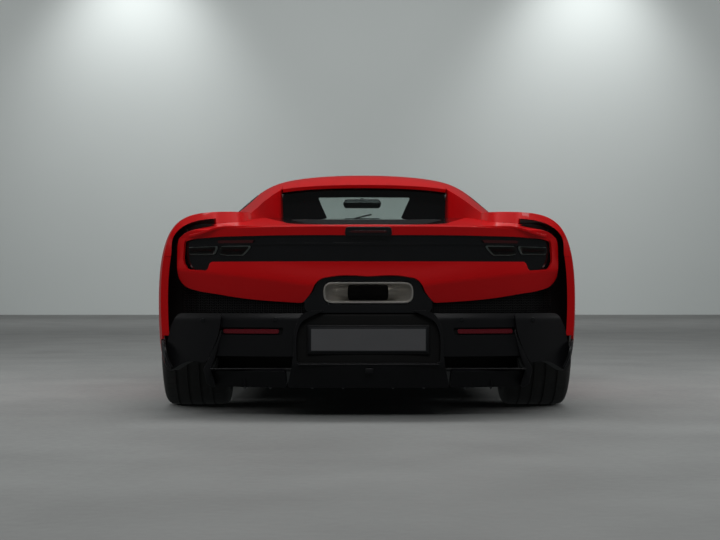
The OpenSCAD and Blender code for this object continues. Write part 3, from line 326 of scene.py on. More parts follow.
def trim(bm, *fields):
    """Keeps the part of a sheet where every field is below zero."""
    for field in fields:
        value = field(coordinates(bm))
        if (value > 0).any() and (value < 0).any():
            value = cut_line(bm, field)
        gone = [f for f in bm.faces if max((value[v.index] for v in f.verts), key=abs) > 0]
        bmesh.ops.delete(bm, geom=gone, context="FACES")
    return bm


def without(*fields):
    """The fields turned round: what was inside goes."""
    return [lambda co, f=f: -f(co) for f in fields]


def mirrored_half(bm):
    """Adds the other half of a sheet that ends at the centre line."""
    bmesh.ops.mirror(bm, geom=bm.verts[:] + bm.edges[:] + bm.faces[:], axis="X", merge_dist=0.3)
    bmesh.ops.remove_doubles(bm, verts=bm.verts[:], dist=0.05)
    return outward(bm)


def outward(bm):
    bmesh.ops.recalc_face_normals(bm, faces=bm.faces[:])
    return bm


def flipped_copy(bm):
    return flip(bm.copy())


def flip(bm):
    bmesh.ops.scale(bm, vec=(-1, 1, 1), verts=bm.verts[:])
    bmesh.ops.reverse_faces(bm, faces=bm.faces[:])
    return bm


def point_outward(bm, way):
    """Turns a sheet over if its faces look against way."""
    bm.normal_update()
    if sum((f.normal * f.calc_area() for f in bm.faces), Vector()).dot(Vector(way)) < 0:
        bmesh.ops.reverse_faces(bm, faces=bm.faces[:])
    return bm


def moved(bm, *way, verts=None):
    bmesh.ops.translate(bm, vec=way, verts=verts or bm.verts[:])
    return bm


def rotated(bm, degrees, axis, verts=None, about=(0, 0, 0)):
    bmesh.ops.rotate(bm, cent=about, verts=verts or bm.verts[:],
                     matrix=Matrix.Rotation(math.radians(degrees), 3, axis))
    return bm


def bevelled(bm, offset, segments=2, angle=35):
    edges = [e for e in bm.edges if len(e.link_faces) == 2
             and e.calc_face_angle(0) > math.radians(angle)]
    bmesh.ops.bevel(bm, geom=edges, offset=offset, segments=segments, profile=0.5,
                    affect="EDGES", material=-1, clamp_overlap=True)
    return bm


def add_box(bm, x0, x1, y0, y1, z0, z1):
    out = bmesh.ops.create_cube(bm, size=1)["verts"]
    bmesh.ops.scale(bm, vec=(abs(x1 - x0), abs(y1 - y0), abs(z1 - z0)), verts=out)
    bmesh.ops.translate(bm, vec=((x0 + x1) / 2, (y0 + y1) / 2, (z0 + z1) / 2), verts=out)
    return out


def box(*bounds, bevel=0.0, segments=2):
    bm = bmesh.new()
    add_box(bm, *bounds)
    return bevelled(bm, bevel, segments) if bevel else bm


def block(points, axis, a0, a1, corner=0.0, bevel=0.0, segments=2, angle=35):
    """An outline in the plane across axis, rounded, run from a0 to a1 and bevelled."""
    bm = bmesh.new()
    verts = []
    for p in rounded(points, corner) if corner else points:
        co = list(p)
        co.insert(axis, a0)
        verts.append(bm.verts.new(co))
    out = bmesh.ops.extrude_face_region(bm, geom=[bm.faces.new(verts)])
    way = [0, 0, 0]
    way[axis] = a1 - a0
    moved(bm, *way, verts=only(out, bmesh.types.BMVert))
    outward(bm)
    return bevelled(bm, bevel, segments, angle) if bevel else bm


def cone(radius1, radius2, depth, segments=32):
    bm = bmesh.new()
    bmesh.ops.create_cone(bm, cap_ends=True, segments=segments, radius1=radius1,
                          radius2=radius2, depth=depth)
    return bm


def only(out, kind):
    return [g for g in out["geom"] if isinstance(g, kind)]


def circle(count):
    """The cosine and sine of each of count even steps round a circle."""
    return [(math.cos(a), math.sin(a)) for a in np.linspace(0, math.tau, count, endpoint=False)]


def squared(value, power):
    """A cosine or sine pushed towards its ends, which makes a circle a soft-cornered square."""
    return math.copysign(abs(value) ** power, value)


def smooth_step(value):
    t = min(1.0, max(0.0, value))
    return t * t * (3 - 2 * t)


def loft(bm, rings, closed=False):
    """A tube through rings of as many points each, capped at both ends or joined up."""
    rows = [[bm.verts.new(p) for p in ring] for ring in rings]
    for a, b in zip(rows, rows[1:] + rows[:1] if closed else rows[1:]):
        for i in range(len(a)):
            bm.faces.new((a[i], a[i - 1], b[i - 1], b[i]))
    if not closed:
        bm.faces.new(rows[0])
        bm.faces.new(list(reversed(rows[-1])))
    return outward(bm)


def turned(profile, steps=96):
    """Spins an (x, radius) profile about the X axis."""
    bm = bmesh.new()
    verts = [bm.verts.new((x, 0, r)) for x, r in profile]
    edges = [bm.edges.new(ends) for ends in zip(verts, verts[1:])]
    bmesh.ops.spin(bm, geom=verts + edges, cent=(0, 0, 0), axis=(1, 0, 0),
                   angle=math.tau, steps=steps, use_merge=True)
    bmesh.ops.remove_doubles(bm, verts=bm.verts[:], dist=0.01)
    return outward(bm)


def linked(obj):
    bpy.context.collection.objects.link(obj)
    return obj


def in_scene(bm, name):
    """An object from a mesh in millimetres, which is freed."""
    bmesh.ops.scale(bm, vec=(MM, MM, MM), verts=bm.verts[:])
    mesh = bpy.data.meshes.new(name)
    bm.to_mesh(mesh)
    bm.free()
    return linked(bpy.data.objects.new(name, mesh))


def piece(name, bm, material, body="body", slot=None, wall=0.0, edge=0.0, subsurf=0,
          hides=(), flat=False, sharp=35):
    """Finishes a mesh in millimetres as one named piece that rides on a body."""
    obj = in_scene(bm, name)
    mesh = obj.data
    mesh.materials.append(material)
    if not flat:
        mesh.polygons.foreach_set("use_smooth", [True] * len(mesh.polygons))
        if not wall and not edge and not subsurf:
            mesh.set_sharp_from_angle(angle=math.radians(sharp))
    if wall:
        mod = obj.modifiers.new("Wall", "SOLIDIFY")
        mod.thickness = wall * MM
        mod.offset = -1
    if edge:
        mod = obj.modifiers.new("Edge", "BEVEL")
        mod.width = edge * MM
        mod.segments = 2
        mod.limit_method = "ANGLE"
        mod.angle_limit = math.radians(38)
        mod.harden_normals = True
    if subsurf:
        mod = obj.modifiers.new("Round", "SUBSURF")
        mod.levels = mod.render_levels = subsurf
    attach(obj, body)
    if hides:
        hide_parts(*hides)
    return obj


def pair(name, bm, material, bodies=("body", "body"), hides=(), right_hides=(), **kw):
    """A right-hand piece and its mirrored twin; {} in hides stands for the side's name."""
    out = []
    for word, mesh, body, more in (("left", flipped_copy(bm), bodies[0], ()),
                                   ("right", bm, bodies[1], right_hides)):
        out.append(piece(f"{word}_{name}", mesh, material, body,
                         hides=[h.format(word) for h in hides] + list(more), **kw))
    return out


# ---------------------------------------------------------------- finishes

def surface_group():
    """Shared finish: two-tone drift, uneven roughness and a fine grain in relief."""
    tree = bpy.data.node_groups.new("surface_finish", "ShaderNodeTree")
    face = tree.interface
    for name, kind, value in (("Colour", "NodeSocketColor", (0.5, 0.5, 0.5, 1)),
                              ("Tint", "NodeSocketColor", (0.5, 0.5, 0.5, 1)),
                              ("Drift Scale", "NodeSocketFloat", 3.0),
                              ("Grain Scale", "NodeSocketFloat", 400.0),
                              ("Grain Height", "NodeSocketFloat", 0.2),
                              ("Rough Low", "NodeSocketFloat", 0.3),
                              ("Rough High", "NodeSocketFloat", 0.4)):
        face.new_socket(name=name, in_out="INPUT", socket_type=kind).default_value = value
    for name, kind in (("Colour", "NodeSocketColor"), ("Roughness", "NodeSocketFloat"),
                       ("Normal", "NodeSocketVector")):
        face.new_socket(name=name, in_out="OUTPUT", socket_type=kind)
    n, link = tree.nodes, tree.links.new
    source, out = n.new("NodeGroupInput"), n.new("NodeGroupOutput")
    where = n.new("ShaderNodeTexCoord")
    drift, grain = n.new("ShaderNodeTexNoise"), n.new("ShaderNodeTexNoise")
    drift.inputs["Detail"].default_value = 4
    grain.inputs["Detail"].default_value = 2
    for tex, scale in ((drift, "Drift Scale"), (grain, "Grain Scale")):
        link(where.outputs["Object"], tex.inputs["Vector"])
        link(source.outputs[scale], tex.inputs["Scale"])
    mix = n.new("ShaderNodeMix")
    mix.data_type = "RGBA"
    link(drift.outputs["Fac"], mix.inputs["Factor"])
    link(source.outputs["Colour"], mix.inputs["A"])
    link(source.outputs["Tint"], mix.inputs["B"])
    spread = n.new("ShaderNodeMapRange")
    link(grain.outputs["Fac"], spread.inputs["Value"])
    link(source.outputs["Rough Low"], spread.inputs["To Min"])
    link(source.outputs["Rough High"], spread.inputs["To Max"])
    bump = n.new("ShaderNodeBump")
    bump.inputs["Distance"].default_value = 0.0004
    link(source.outputs["Grain Height"], bump.inputs["Strength"])
    link(grain.outputs["Fac"], bump.inputs["Height"])
    link(mix.outputs["Result"], out.inputs["Colour"])
    link(spread.outputs["Result"], out.inputs["Roughness"])
    link(bump.outputs["Normal"], out.inputs["Normal"])
    return tree


FINISH = surface_group()


def finish(name, slot, colour, tint, rough, drift, grain, height, clear=False, **sockets):
    """A Principled finish whose colour, roughness and relief come from the shared group. Its slot
    argument is not used."""
    mat = bpy.data.materials.new(name)
    mat.use_nodes = True
    n, link = mat.node_tree.nodes, mat.node_tree.links.new
    shader = n["Principled BSDF"]
    for socket, value in sockets.items():
        shader.inputs[socket.replace("_", " ")].default_value = value
    part = n.new("ShaderNodeGroup")
    part.node_tree = FINISH
    part.inputs["Colour"].default_value = (*colour, 1)
    part.inputs["Tint"].default_value = (*tint, 1)
    part.inputs["Drift Scale"].default_value = drift
    part.inputs["Grain Scale"].default_value = grain
    part.inputs["Grain Height"].default_value = height
    part.inputs["Rough Low"].default_value, part.inputs["Rough High"].default_value = rough
    link(part.outputs["Colour"], shader.inputs["Base Color"])
    link(part.outputs["Roughness"], shader.inputs["Roughness"])
    if height:
        link(part.outputs["Normal"], shader.inputs["Normal"])
    if clear:
        # Light passes straight through for shadows, so that the cabin isn't dark
        shader.inputs["Transmission Weight"].default_value = 1
        through = n.new("ShaderNodeBsdfTransparent")
        through.inputs["Color"].default_value = (*[c ** 0.5 for c in colour], 1)
        rays, mix = n.new("ShaderNodeLightPath"), n.new("ShaderNodeMixShader")
        link(rays.outputs["Is Shadow Ray"], mix.inputs["Fac"])
        link(shader.outputs["BSDF"], mix.inputs[1])
        link(through.outputs["BSDF"], mix.inputs[2])
        link(mix.outputs["Shader"], n["Material Output"].inputs["Surface"])
    return mat


PAINT = finish("red_paint", "paint", (0.68, 0.002, 0.004), (0.58, 0.001, 0.003), (0.30, 0.36),
               1.5, 900, 0.02, Metallic=0.1, Coat_Weight=0.5, Coat_Roughness=0.02, Coat_IOR=1.5,
               Specular_IOR_Level=0.2)
GLOSS_BLACK = finish("gloss_black", "gloss_black", (0.004, 0.004, 0.005), (0.006, 0.006, 0.007),
                     (0.10, 0.16), 2, 700, 0.01, Coat_Weight=0.6, Coat_Roughness=0.03)
SATIN_BLACK = finish("satin_black", "satin_black", (0.004, 0.004, 0.005), (0.007, 0.007, 0.008),
                     (0.34, 0.46), 4, 1500, 0.2, Specular_IOR_Level=0.35)
MATT_BLACK = finish("matt_black", "satin_black", (0.004, 0.004, 0.004), (0.007, 0.007, 0.007),
                    (0.65, 0.8), 6, 900, 0.3, Specular_IOR_Level=0.25)
GRILLE = finish("grille_black", "satin_black", (0.010, 0.010, 0.011), (0.016, 0.016, 0.017), (0.4,
                0.5), 6, 1200, 0.2)
RUBBER = finish("tyre_rubber", "tyre", (0.020, 0.020, 0.020), (0.030, 0.029, 0.028), (0.62, 0.78),
                9, 1300, 0.35)
BRUSHED = finish("brushed_steel", "bright_metal", (0.72, 0.69, 0.64), (0.58, 0.55, 0.51), (0.30,
                 0.42), 12, 2200, 0.15, Metallic=0.75, Anisotropic=0.5)
ALLOY = finish("dark_alloy", "alloy", (0.13, 0.13, 0.14), (0.10, 0.10, 0.11), (0.28, 0.36), 5,
               1800, 0.08, Metallic=0.9, Coat_Weight=0.5, Coat_Roughness=0.1)
MACHINED = finish("machined_alloy", "alloy", (0.45, 0.45, 0.46), (0.36, 0.36, 0.38), (0.22, 0.34),
                  8, 2400, 0.12, Metallic=1.0)
DISC = finish("brake_disc", "alloy", (0.30, 0.29, 0.28), (0.22, 0.21, 0.20), (0.35, 0.5), 20,
              1600, 0.2, Metallic=1.0)
CALIPER = finish("caliper", "alloy", (0.55, 0.38, 0.01), (0.50, 0.33, 0.01), (0.3, 0.4), 5, 900,
                 0.1, Coat_Weight=0.5)
STRUCTURE = finish("coated_aluminium", "structure", (0.035, 0.035, 0.038), (0.05, 0.05, 0.052),
                   (0.5, 0.65), 5, 900, 0.2, Metallic=0.4)
CAST = finish("cast_aluminium", "cast_metal", (0.30, 0.30, 0.31), (0.22, 0.22, 0.23), (0.45, 0.6),
              14, 700, 0.6, Metallic=0.9)
GLASS = finish("tinted_glass", "glass", (0.80, 0.86, 0.84), (0.78, 0.85, 0.83), (0.0, 0.01), 1,
               50, 0, clear=True, IOR=1.45)
SMOKED = finish("smoked_glass", "cover_glass", (0.10, 0.10, 0.105), (0.09, 0.09, 0.095), (0.0,
                0.02), 1, 50, 0, clear=True, IOR=1.45)
LAMP_CLEAR = finish("clear_lens", "lamp_clear", (0.95, 0.96, 0.97), (0.92, 0.94, 0.96), (0.0,
                    0.02), 2, 50, 0, clear=True, IOR=1.45)
LAMP_RED = finish("smoked_red_lens", "lamp_red", (0.20, 0.17, 0.165), (0.16, 0.14, 0.135), (0.02,
                  0.05), 4, 60, 0, clear=True, IOR=1.45)
LAMP_BED = finish("lamp_bed", "gloss_black", (0.16, 0.19, 0.18), (0.11, 0.13, 0.125), (0.25,
                  0.35), 40, 700, 0.4, Metallic=0.5)
RED_STRIP = finish("red_reflector", "lamp_red", (0.15, 0.003, 0.010), (0.10, 0.002, 0.007), (0.2,
                   0.35), 60, 900, 0.6, Coat_Weight=0.4)
DARK_RED = finish("dark_red_lens", "lamp_red", (0.05, 0.003, 0.004), (0.035, 0.002, 0.003), (0.08,
                  0.15), 20, 600, 0.1, Coat_Weight=1.0)
LEATHER = finish("black_leather", "leather", (0.030, 0.028, 0.028), (0.022, 0.021, 0.021), (0.42,
                 0.55), 8, 620, 0.7)
DASH = finish("dash_leather", "leather", (0.020, 0.020, 0.022), (0.028, 0.028, 0.030), (0.5,
              0.62), 8, 800, 0.5)
THREAD = finish("red_thread", "leather", (0.35, 0.01, 0.01), (0.28, 0.008, 0.008), (0.6, 0.8), 40,
                3000, 0.5)
CHROME = finish("mirror_glass", "bright_metal", (0.75, 0.77, 0.79), (0.72, 0.74, 0.77), (0.01,
                0.03), 2, 80, 0, Metallic=1.0)
LED = finish("lamp_reflector", "lamp_clear", (0.80, 0.82, 0.85), (0.65, 0.67, 0.7), (0.08, 0.15),
             20, 600, 0.1, Metallic=0.9)
PLATE = finish("blank_plate", "satin_black", (0.011, 0.012, 0.014), (0.015, 0.016, 0.018), (0.45,
               0.55), 5, 1400, 0.1, Specular_IOR_Level=0.25)
PLATE_BORDER = finish("plate_border_grey", "satin_black", (0.10, 0.10, 0.105), (0.08, 0.08,
                      0.085), (0.4, 0.5), 8, 900, 0.1)
CARPET = finish("carpet", "leather", (0.016, 0.016, 0.016), (0.026, 0.026, 0.026), (0.85, 0.95),
                6, 1400, 0.9)
ROOF_CLOTH = finish("roof_cloth", "leather", (0.020, 0.020, 0.021), (0.030, 0.030, 0.032), (0.8,
                    0.9), 8, 1500, 0.6)
CONCRETE = finish("concrete_floor", None, (0.27, 0.28, 0.275), (0.17, 0.175, 0.172), (0.45, 0.65),
                  1.6, 26, 0.8, Specular_IOR_Level=0.3)
PLASTER = finish("wall_plaster", None, (0.62, 0.66, 0.65), (0.56, 0.60, 0.59), (0.7, 0.8), 0.25, 6,
                 0.1)

# ---------------------------------------------------------------- body panels

ALONG, ACROSS = 14, 8
body_points = surface(BODY_NET, ALONG, ACROSS, True)
cabin_points = surface(CABIN_NET, ALONG, ACROSS, False)


def body_sheet(first=0, last=19):
    return sheet_on(body_points[first * ALONG:last * ALONG + 1])


def cabin_sheet(first=0, last=11):
    return sheet_on(cabin_points[first * ALONG:last * ALONG + 1])


body_tree, cabin_tree = BVHTree.FromBMesh(body_sheet()), BVHTree.FromBMesh(cabin_sheet())
nose_tree = BVHTree.FromBMesh(body_sheet(12, 19))
DOWN, FAR = Vector((0, 0, -1)), 2000


def stands_over(tree, margin):
    """Below zero where a point stands over a surface by more than the margin."""
    def height(x, y):
        hit = tree.ray_cast(Vector((abs(x), y, FAR)), DOWN)[0]
        return hit.z if hit else -1e4
    return lambda co: np.array([height(p[0], p[1]) + margin - p[2] for p in co])


def over_body(margin):
    return stands_over(body_tree, margin)


def fold(bm, field, move, reach=0.8, choose=lambda co: True):
    """Turns the open edge that lies on a field's line inwards, as a pressed panel's return."""
    value = field(coordinates(bm))
    bm.verts.index_update()
    edges = [e for e in bm.edges if e.is_boundary
             and all(abs(value[v.index]) < reach and choose(v.co) for v in e.verts)]
    if edges:
        out = bmesh.ops.extrude_edge_only(bm, edges=edges)
        for v in only(out, bmesh.types.BMVert):
            v.co = move(v.co)


WALL, EDGE = 10.0, 1.4
SKIN = dict(wall=WALL, edge=EDGE)
DOORS = ("left_door", "right_door")
ABOVE_LAMPS, OUTBOARD = above(2, 430), above(0, 430)
ABOVE_FLOOR = above(2, 119)
LAMP_OPENING = both_of(plan(HEADLAMP, 3), ABOVE_LAMPS)
BONNET_OPENING = both_of(plan(BONNET, SHUT), ABOVE_LAMPS)

# Doors: outer skin down to the sill
door = trim(body_sheet(4, 11), above(0, 772), side(DOOR),
            *without(side([(606, 893), (606, 2000), (-900, 2000), (-900, 913)], smooth=False)))
pair("door_skin", door, PAINT, DOORS, ["{}_door"], **SKIN)

# Front wings
wing = trim(body_sheet(9, 17), above(0, 375), above(1, 560), ABOVE_FLOOR,
            *without(side(DOOR, SHUT + 2),
                     side([(400, 0), (400, 207), (780, 207), (780, 0)], smooth=False),
                     side(BUMPER, SHUT),
                     side([(1400, 0), (1400, 200), (1600, 200), (1600, 0)], smooth=False),
                     LAMP_OPENING, BONNET_OPENING,
                     both_of(plan(WINDSCREEN[:-1] + [(-50, -800)], 3, smooth=False), ABOVE_LAMPS),
                     side([(300, 700), (300, 1300), (596, 1300), (596, 700)], smooth=False),
                     plan([(0, 560), (0, 900), (560, 880), (640, 790), (720, 700), (752, 560)],
                          smooth=False),
                     FRONT_ARCH))
pair("front_wing", wing, PAINT, hides=["{}_front_fender"], **SKIN)

# Bonnet and nose
piece("bonnet_skin", mirrored_half(trim(body_sheet(9), above(2, 470), plan(BONNET))), PAINT,
      "bonnet", hides=["bonnet"], **SKIN)
CENTRE_INTAKE = [(-60, 150), (-60, 268), (0, 268), (400, 262), (430, 150)]
SIDE_INTAKE = [(500, 175), (520, 330), (740, 360), (800, 300), (770, 180)]
nose = trim(body_sheet(12), side(BUMPER), ABOVE_FLOOR,
            *without(both_of(rear(CENTRE_INTAKE), above(1, 1900)),
                     both_of(rear(SIDE_INTAKE), above(1, 1750)),
                     LAMP_OPENING, BONNET_OPENING, FRONT_ARCH))
piece("nose_skin", mirrored_half(nose), PAINT, hides=["front_bumper"], **SKIN)

# Roof with its windscreen pillars
roof = trim(cabin_sheet(3),
            plan([(-50, -752), (429, -752), (429, -600), (900, -600), (900, 1100),
                  (-50, 1100)], smooth=False),
            over_body(0.5),
            *without(plan(WINDSCREEN), both_of(side(SIDE_WINDOW), OUTBOARD),
                     plan([(-50, 800), (650, 770), (700, 700), (730, 1100), (-50, 1100)],
                          smooth=False),
                     both_of(side(DOOR, SHUT), lambda co: co[:, 2] - 900)))
piece("roof_skin", mirrored_half(roof), PAINT, wall=WALL + 8, edge=EDGE, hides=["roof"])

# Rear quarters: the haunch, then the buttress that runs down from the roof
HAUNCH_END = side([(-1600, 0), (-1600, 226), (-1850, 226), (-1960, 322), (-2085, 334),
                   (-2085, 700), (-2060, 1000), (-2400, 1000), (-2400, 0)], corner=30)
WINDOW_OPENING = both_of(side(SIDE_WINDOW, SHUT), OUTBOARD)
PILLAR = side([(-590, 600), (-400, 600), (-400, 1300), (-600, 1300), (-600, 900)], smooth=False)
haunch = trim(body_sheet(0, 8), plan(QUARTER), ABOVE_FLOOR, stands_over(cabin_tree, -1),
              *without(side(DOOR, SHUT + 2), WINDOW_OPENING,
                       side([(-400, 0), (-400, 207), (-990, 207), (-990, 0)], smooth=False),
                       PILLAR, HAUNCH_END, REAR_ARCH))


def deck_z(y):
    """The deck's height on the centre line."""
    ys, zs = zip(*reversed(DECK_LINE))
    return float(np.interp(y, ys, zs))


RETURN = 30


def down_to_deck(co):
    """The haunch's return: down beside the deck, and inwards behind the lamps."""
    if co.y > -1900:
        return Vector((co.x - 3, co.y, min(co.z, deck_z(co.y) - RETURN)))
    turn = smooth_step((co.z - 700) / 150)
    return Vector((co.x - 32 + 29 * turn, co.y, co.z - RETURN * turn))


fold(haunch, HAUNCH_END, lambda co: Vector((co.x - 32, co.y + 4, co.z)),
     choose=lambda co: co.z > 345)
fold(haunch, plan(QUARTER), down_to_deck)
corner = trim(body_sheet(0, 4), side([(-1836, 200), (-1850, 222), (-1960, 318), (-2085, 330),
                                      (-2112, 300), (-2112, 200)], corner=8), above(0, 600))
pair("bumper_corner", corner, SATIN_BLACK, **SKIN)
pair("haunch", haunch, PAINT, hides=["{}_rear_quarter"], **SKIN)
buttress = trim(cabin_sheet(0, 6), plan(QUARTER), over_body(-1),
                *without(WINDOW_OPENING, PILLAR, HAUNCH_END))
fold(buttress, plan(QUARTER), down_to_deck)
pair("buttress", buttress, PAINT, **SKIN)

# Sills
skirt = trim(body_sheet(3, 12), side([(-1000, 106), (-1000, 203), (790, 203), (790, 106)],
                                     smooth=False), *without(FRONT_ARCH, REAR_ARCH))
pair("sill_skin", skirt, SATIN_BLACK, wall=20, edge=3, right_hides=["side_skirts"])

# Glass
screen = trim(cabin_sheet(7), plan(WINDSCREEN, -3), over_body(3))
piece("windscreen_glass", mirrored_half(screen), GLASS, wall=5, hides=["windscreen"])
seal = trim(cabin_sheet(7), plan(WINDSCREEN, 1), over_body(-8),
            *without(plan(WINDSCREEN, -16)))
piece("windscreen_seal", moved(mirrored_half(seal), 0, 0, -5.5), MATT_BLACK, wall=8)
pane = trim(cabin_sheet(3), OUTBOARD, side(SIDE_WINDOW, -4), over_body(-6))
pair("side_glass", pane, GLASS, DOORS, ["{}_door_glass"], wall=5)
seal = trim(cabin_sheet(3), OUTBOARD, side(SIDE_WINDOW, -1), over_body(-6),
            *without(side(SIDE_WINDOW, -13)))
pair("window_seal", moved(seal, -1.5, 0, -1.5), MATT_BLACK, DOORS, wall=8)

# Headlamps: a clear cover over a black housing, with three round modules
SUNK = Vector((10, 14, 32))
lens = trim(body_sheet(12, 18), plan(HEADLAMP, -1), above(2, 440), *without(FRONT_ARCH))
housing = trim(body_sheet(12, 18), plan(HEADLAMP, 1), ABOVE_LAMPS, *without(FRONT_ARCH))
moved(housing, *-SUNK)
fold(housing, lambda co: plan(HEADLAMP, 1)(co + np.array(SUNK)),
     lambda co: co + Vector((10, 14, 28)))
pair("headlamp_lens", lens, LAMP_CLEAR, wall=3, edge=0.8)
pair("headlamp_housing", housing, GLOSS_BLACK, wall=2, right_hides=["headlamps"])
for i, (x, y, z, r) in enumerate([(640, 1800, 596, 34), (705, 1765, 614, 30),
                                  (768, 1725, 628, 26)]):
    pod = bmesh.new()
    bmesh.ops.create_uvsphere(pod, u_segments=32, v_segments=16, radius=r)
    bmesh.ops.scale(pod, vec=(1, 0.7, 0.8), verts=pod.verts[:])
    pair(f"headlamp_module_{i + 1}", moved(pod, x, y, z - 26), LED)

# ---------------------------------------------------------------- tail

BACK, FRONT, UP = (0, -1, 0), (0, 1, 0), (0, 0, 1)


def tail_y(x):
    return TAIL_Y + TAIL_SWEEP * (abs(x) / TAIL_HALF) ** TAIL_CURVE


def onto_tail(bm, inset, lean=lambda x, z: 0):
    """Lays a flat panel on the swept tail, narrowed a little as it sinks into it."""
    for v in bm.verts:
        x, z = v.co.x, v.co.z
        v.co.y = tail_y(x) + inset + lean(x, z)
        v.co.x = x * (1 - inset / TAIL_HALF)
    return point_outward(bm, BACK)


def tail_piece(name, outline, material, inset=0.0, wall=8.0, edge=1.2, halves=False,
               hides=(), holes=(), corner=10.0, step=9.0, grow=0.0, **kw):
    """A panel drawn from behind and laid on the tail: across the car, or one each side."""
    pts = np.array(outline, dtype=float)
    x0, z0 = max(0, pts[:, 0].min() - grow), pts[:, 1].min() - grow
    x1, z1 = pts.max(0) + grow
    bm = grid_sheet(np.linspace(x0, x1, max(3, int((x1 - x0) / step) + 2)),
                    np.linspace(z0, z1, max(3, int((z1 - z0) / step) + 2)),
                    lambda x, z: (x, 0, z))
    trim(bm, rear(outline, grow, corner=corner),
         *without(*[rear(h, corner=corner) for h in holes]))
    onto_tail(bm, inset, **kw)
    if halves:
        return pair(name, bm, material, wall=wall, edge=edge, right_hides=hides)
    return piece(name, point_outward(mirrored_half(bm), BACK), material, wall=wall, edge=edge,
                 hides=hides)


def crease_z(x):
    return float(np.interp(abs(x), (0, 256, 406, 731, 850), (566, 571, 592, 629, 640)))


def tail_panel_lean(x, z):
    under = max(0.0, crease_z(x) - z)
    over = max(0.0, z - crease_z(x))
    return under * 0.42 + 14 * smooth_step(over / 110) - 4


TAIL_PANEL = [(-60, 609), (172, 609), (208, 600), (232, 577), (246, 546), (286, 495),
              (436, 504), (557, 516), (677, 535), (760, 549), (812, 568), (838, 600),
              (848, 660), (848, 745), (838, 782), (812, 800), (802, 786), (814, 764),
              (818, 730), (815, 668), (800, 643), (708, 637), (695, 676), (-60, 676)]
TAIL_LIP = [(-60, 790), (500, 788), (700, 782), (790, 772), (812, 764), (838, 779), (815, 800),
            (690, 817), (500, 825), (200, 828), (-60, 828)]
tail_piece("tail_panel_skin", TAIL_PANEL, PAINT, lean=tail_panel_lean, wall=14, edge=2.2,
           hides=["tail_panel"])
tail_piece("tail_lip", TAIL_LIP, PAINT, wall=26, edge=3.0, inset=-2,
           lean=lambda x, z: (828 - z) * 0.28)
tail_piece("third_lamp_block", [(-60, 786), (103, 786), (99, 826), (-60, 826)], GLOSS_BLACK,
           inset=-4, wall=20, edge=2)
tail_piece("third_lamp_lens", [(-60, 800), (82, 800), (80, 810), (-60, 810)], DARK_RED,
           inset=-7, wall=6, edge=1)
tail_piece("lamp_band", [(-60, 668), (692, 668), (704, 630), (802, 634), (824, 662), (828, 735),
                         (812, 786), (700, 798), (-60, 800)], GLOSS_BLACK,
           inset=20, wall=14, edge=1.5, hides=["lamp_panel"])
tail_piece("lamp_band_ridge", [(-60, 747), (640, 747), (700, 745), (800, 742), (800, 752),
                               (640, 758), (-60, 758)], GLOSS_BLACK, inset=13, wall=9, edge=2)
LAMPS = (("outer", [(806, 712), (808, 738), (677, 742), (690, 711)]),
         ("inner", [(664, 711), (655, 742), (526, 742), (562, 706)]))
for name, outline in LAMPS:
    fine = dict(halves=True, step=6)
    tail_piece(f"tail_lamp_{name}", outline, LAMP_RED, inset=9, wall=5, edge=1.5, corner=6,
               **fine)
    tail_piece(f"tail_lamp_{name}_frame", outline, LAMP_BED, inset=15, wall=6, edge=1,
               corner=6, grow=4, **fine)
    mid = np.array(outline, dtype=float)
    centre = mid.mean(0)
    bar = [tuple(centre + (p - centre) * (0.84, 0.34)) for p in mid]
    tail_piece(f"tail_lamp_{name}_element", bar, RED_STRIP, inset=13.5, wall=2, edge=0,
               corner=3, **fine)
tail_piece("tail_lamp_strip", [(671, 757), (669, 769), (503, 771), (515, 758)], DARK_RED,
           inset=10, wall=8, edge=1, halves=True, corner=3, step=5, hides=["tail_lamps"])
tail_piece("tail_backing", [(-60, 290), (700, 250), (976, 245), (990, 340), (1002, 490),
                            (998, 632), (976, 752), (936, 826), (880, 836), (860, 790),
                            (-60, 790)], MATT_BLACK, inset=62, wall=3, edge=0,
           holes=[[(-60, 498), (190, 498), (190, 582), (-60, 582)]], step=16)
# Painted shade: a matt black sheet across the groove under each shoulder, between the haunch's fold
# and the deck, where that recess falls in shade. It stands for no part of its own.
shade = grid_sheet(np.linspace(596, 876, 40), np.linspace(780, 902, 24),
                   lambda x, z: (x, -1960, z))
trim(shade, rear([(640, 780), (650, 826), (700, 846), (785, 842), (835, 822), (855, 802),
                  (855, 780)], corner=12))
pair("shoulder_painted_shade", point_outward(shade, BACK), MATT_BLACK, wall=3)

# Tail grille: a pierced sheet of staggered cells, each inset and its middle taken out
CELL, RIB = 11.0, 2.2
MESH_AREA = [(-60, 452), (868, 452), (868, 566), (812, 566), (677, 533), (436, 502),
             (286, 493), (240, 452)]
(width, top), low = np.max(MESH_AREA, axis=0), 452
bm = grid_sheet(range(int(width / CELL) + 2), range(int((top - low) / CELL) + 2),
                lambda i, j: (i * CELL, 0, low + j * CELL + (i % 2) * CELL / 2))
field = rear(MESH_AREA, corner=4)
gone = [f for f in bm.faces if field(np.array([f.calc_center_median()]))[0] > -CELL * 0.2]
bmesh.ops.delete(bm, geom=gone, context="FACES")
bmesh.ops.inset_individual(bm, faces=bm.faces[:], thickness=RIB / 2)
inner = [f for f in bm.faces if f.calc_area() > (CELL - RIB * 1.6) ** 2 * 0.9]
bmesh.ops.delete(bm, geom=inner, context="FACES")
mesh_sheet = mirrored_half(onto_tail(bm, 44))
piece("tail_grille", point_outward(mesh_sheet, BACK), GRILLE, wall=4, flat=True)

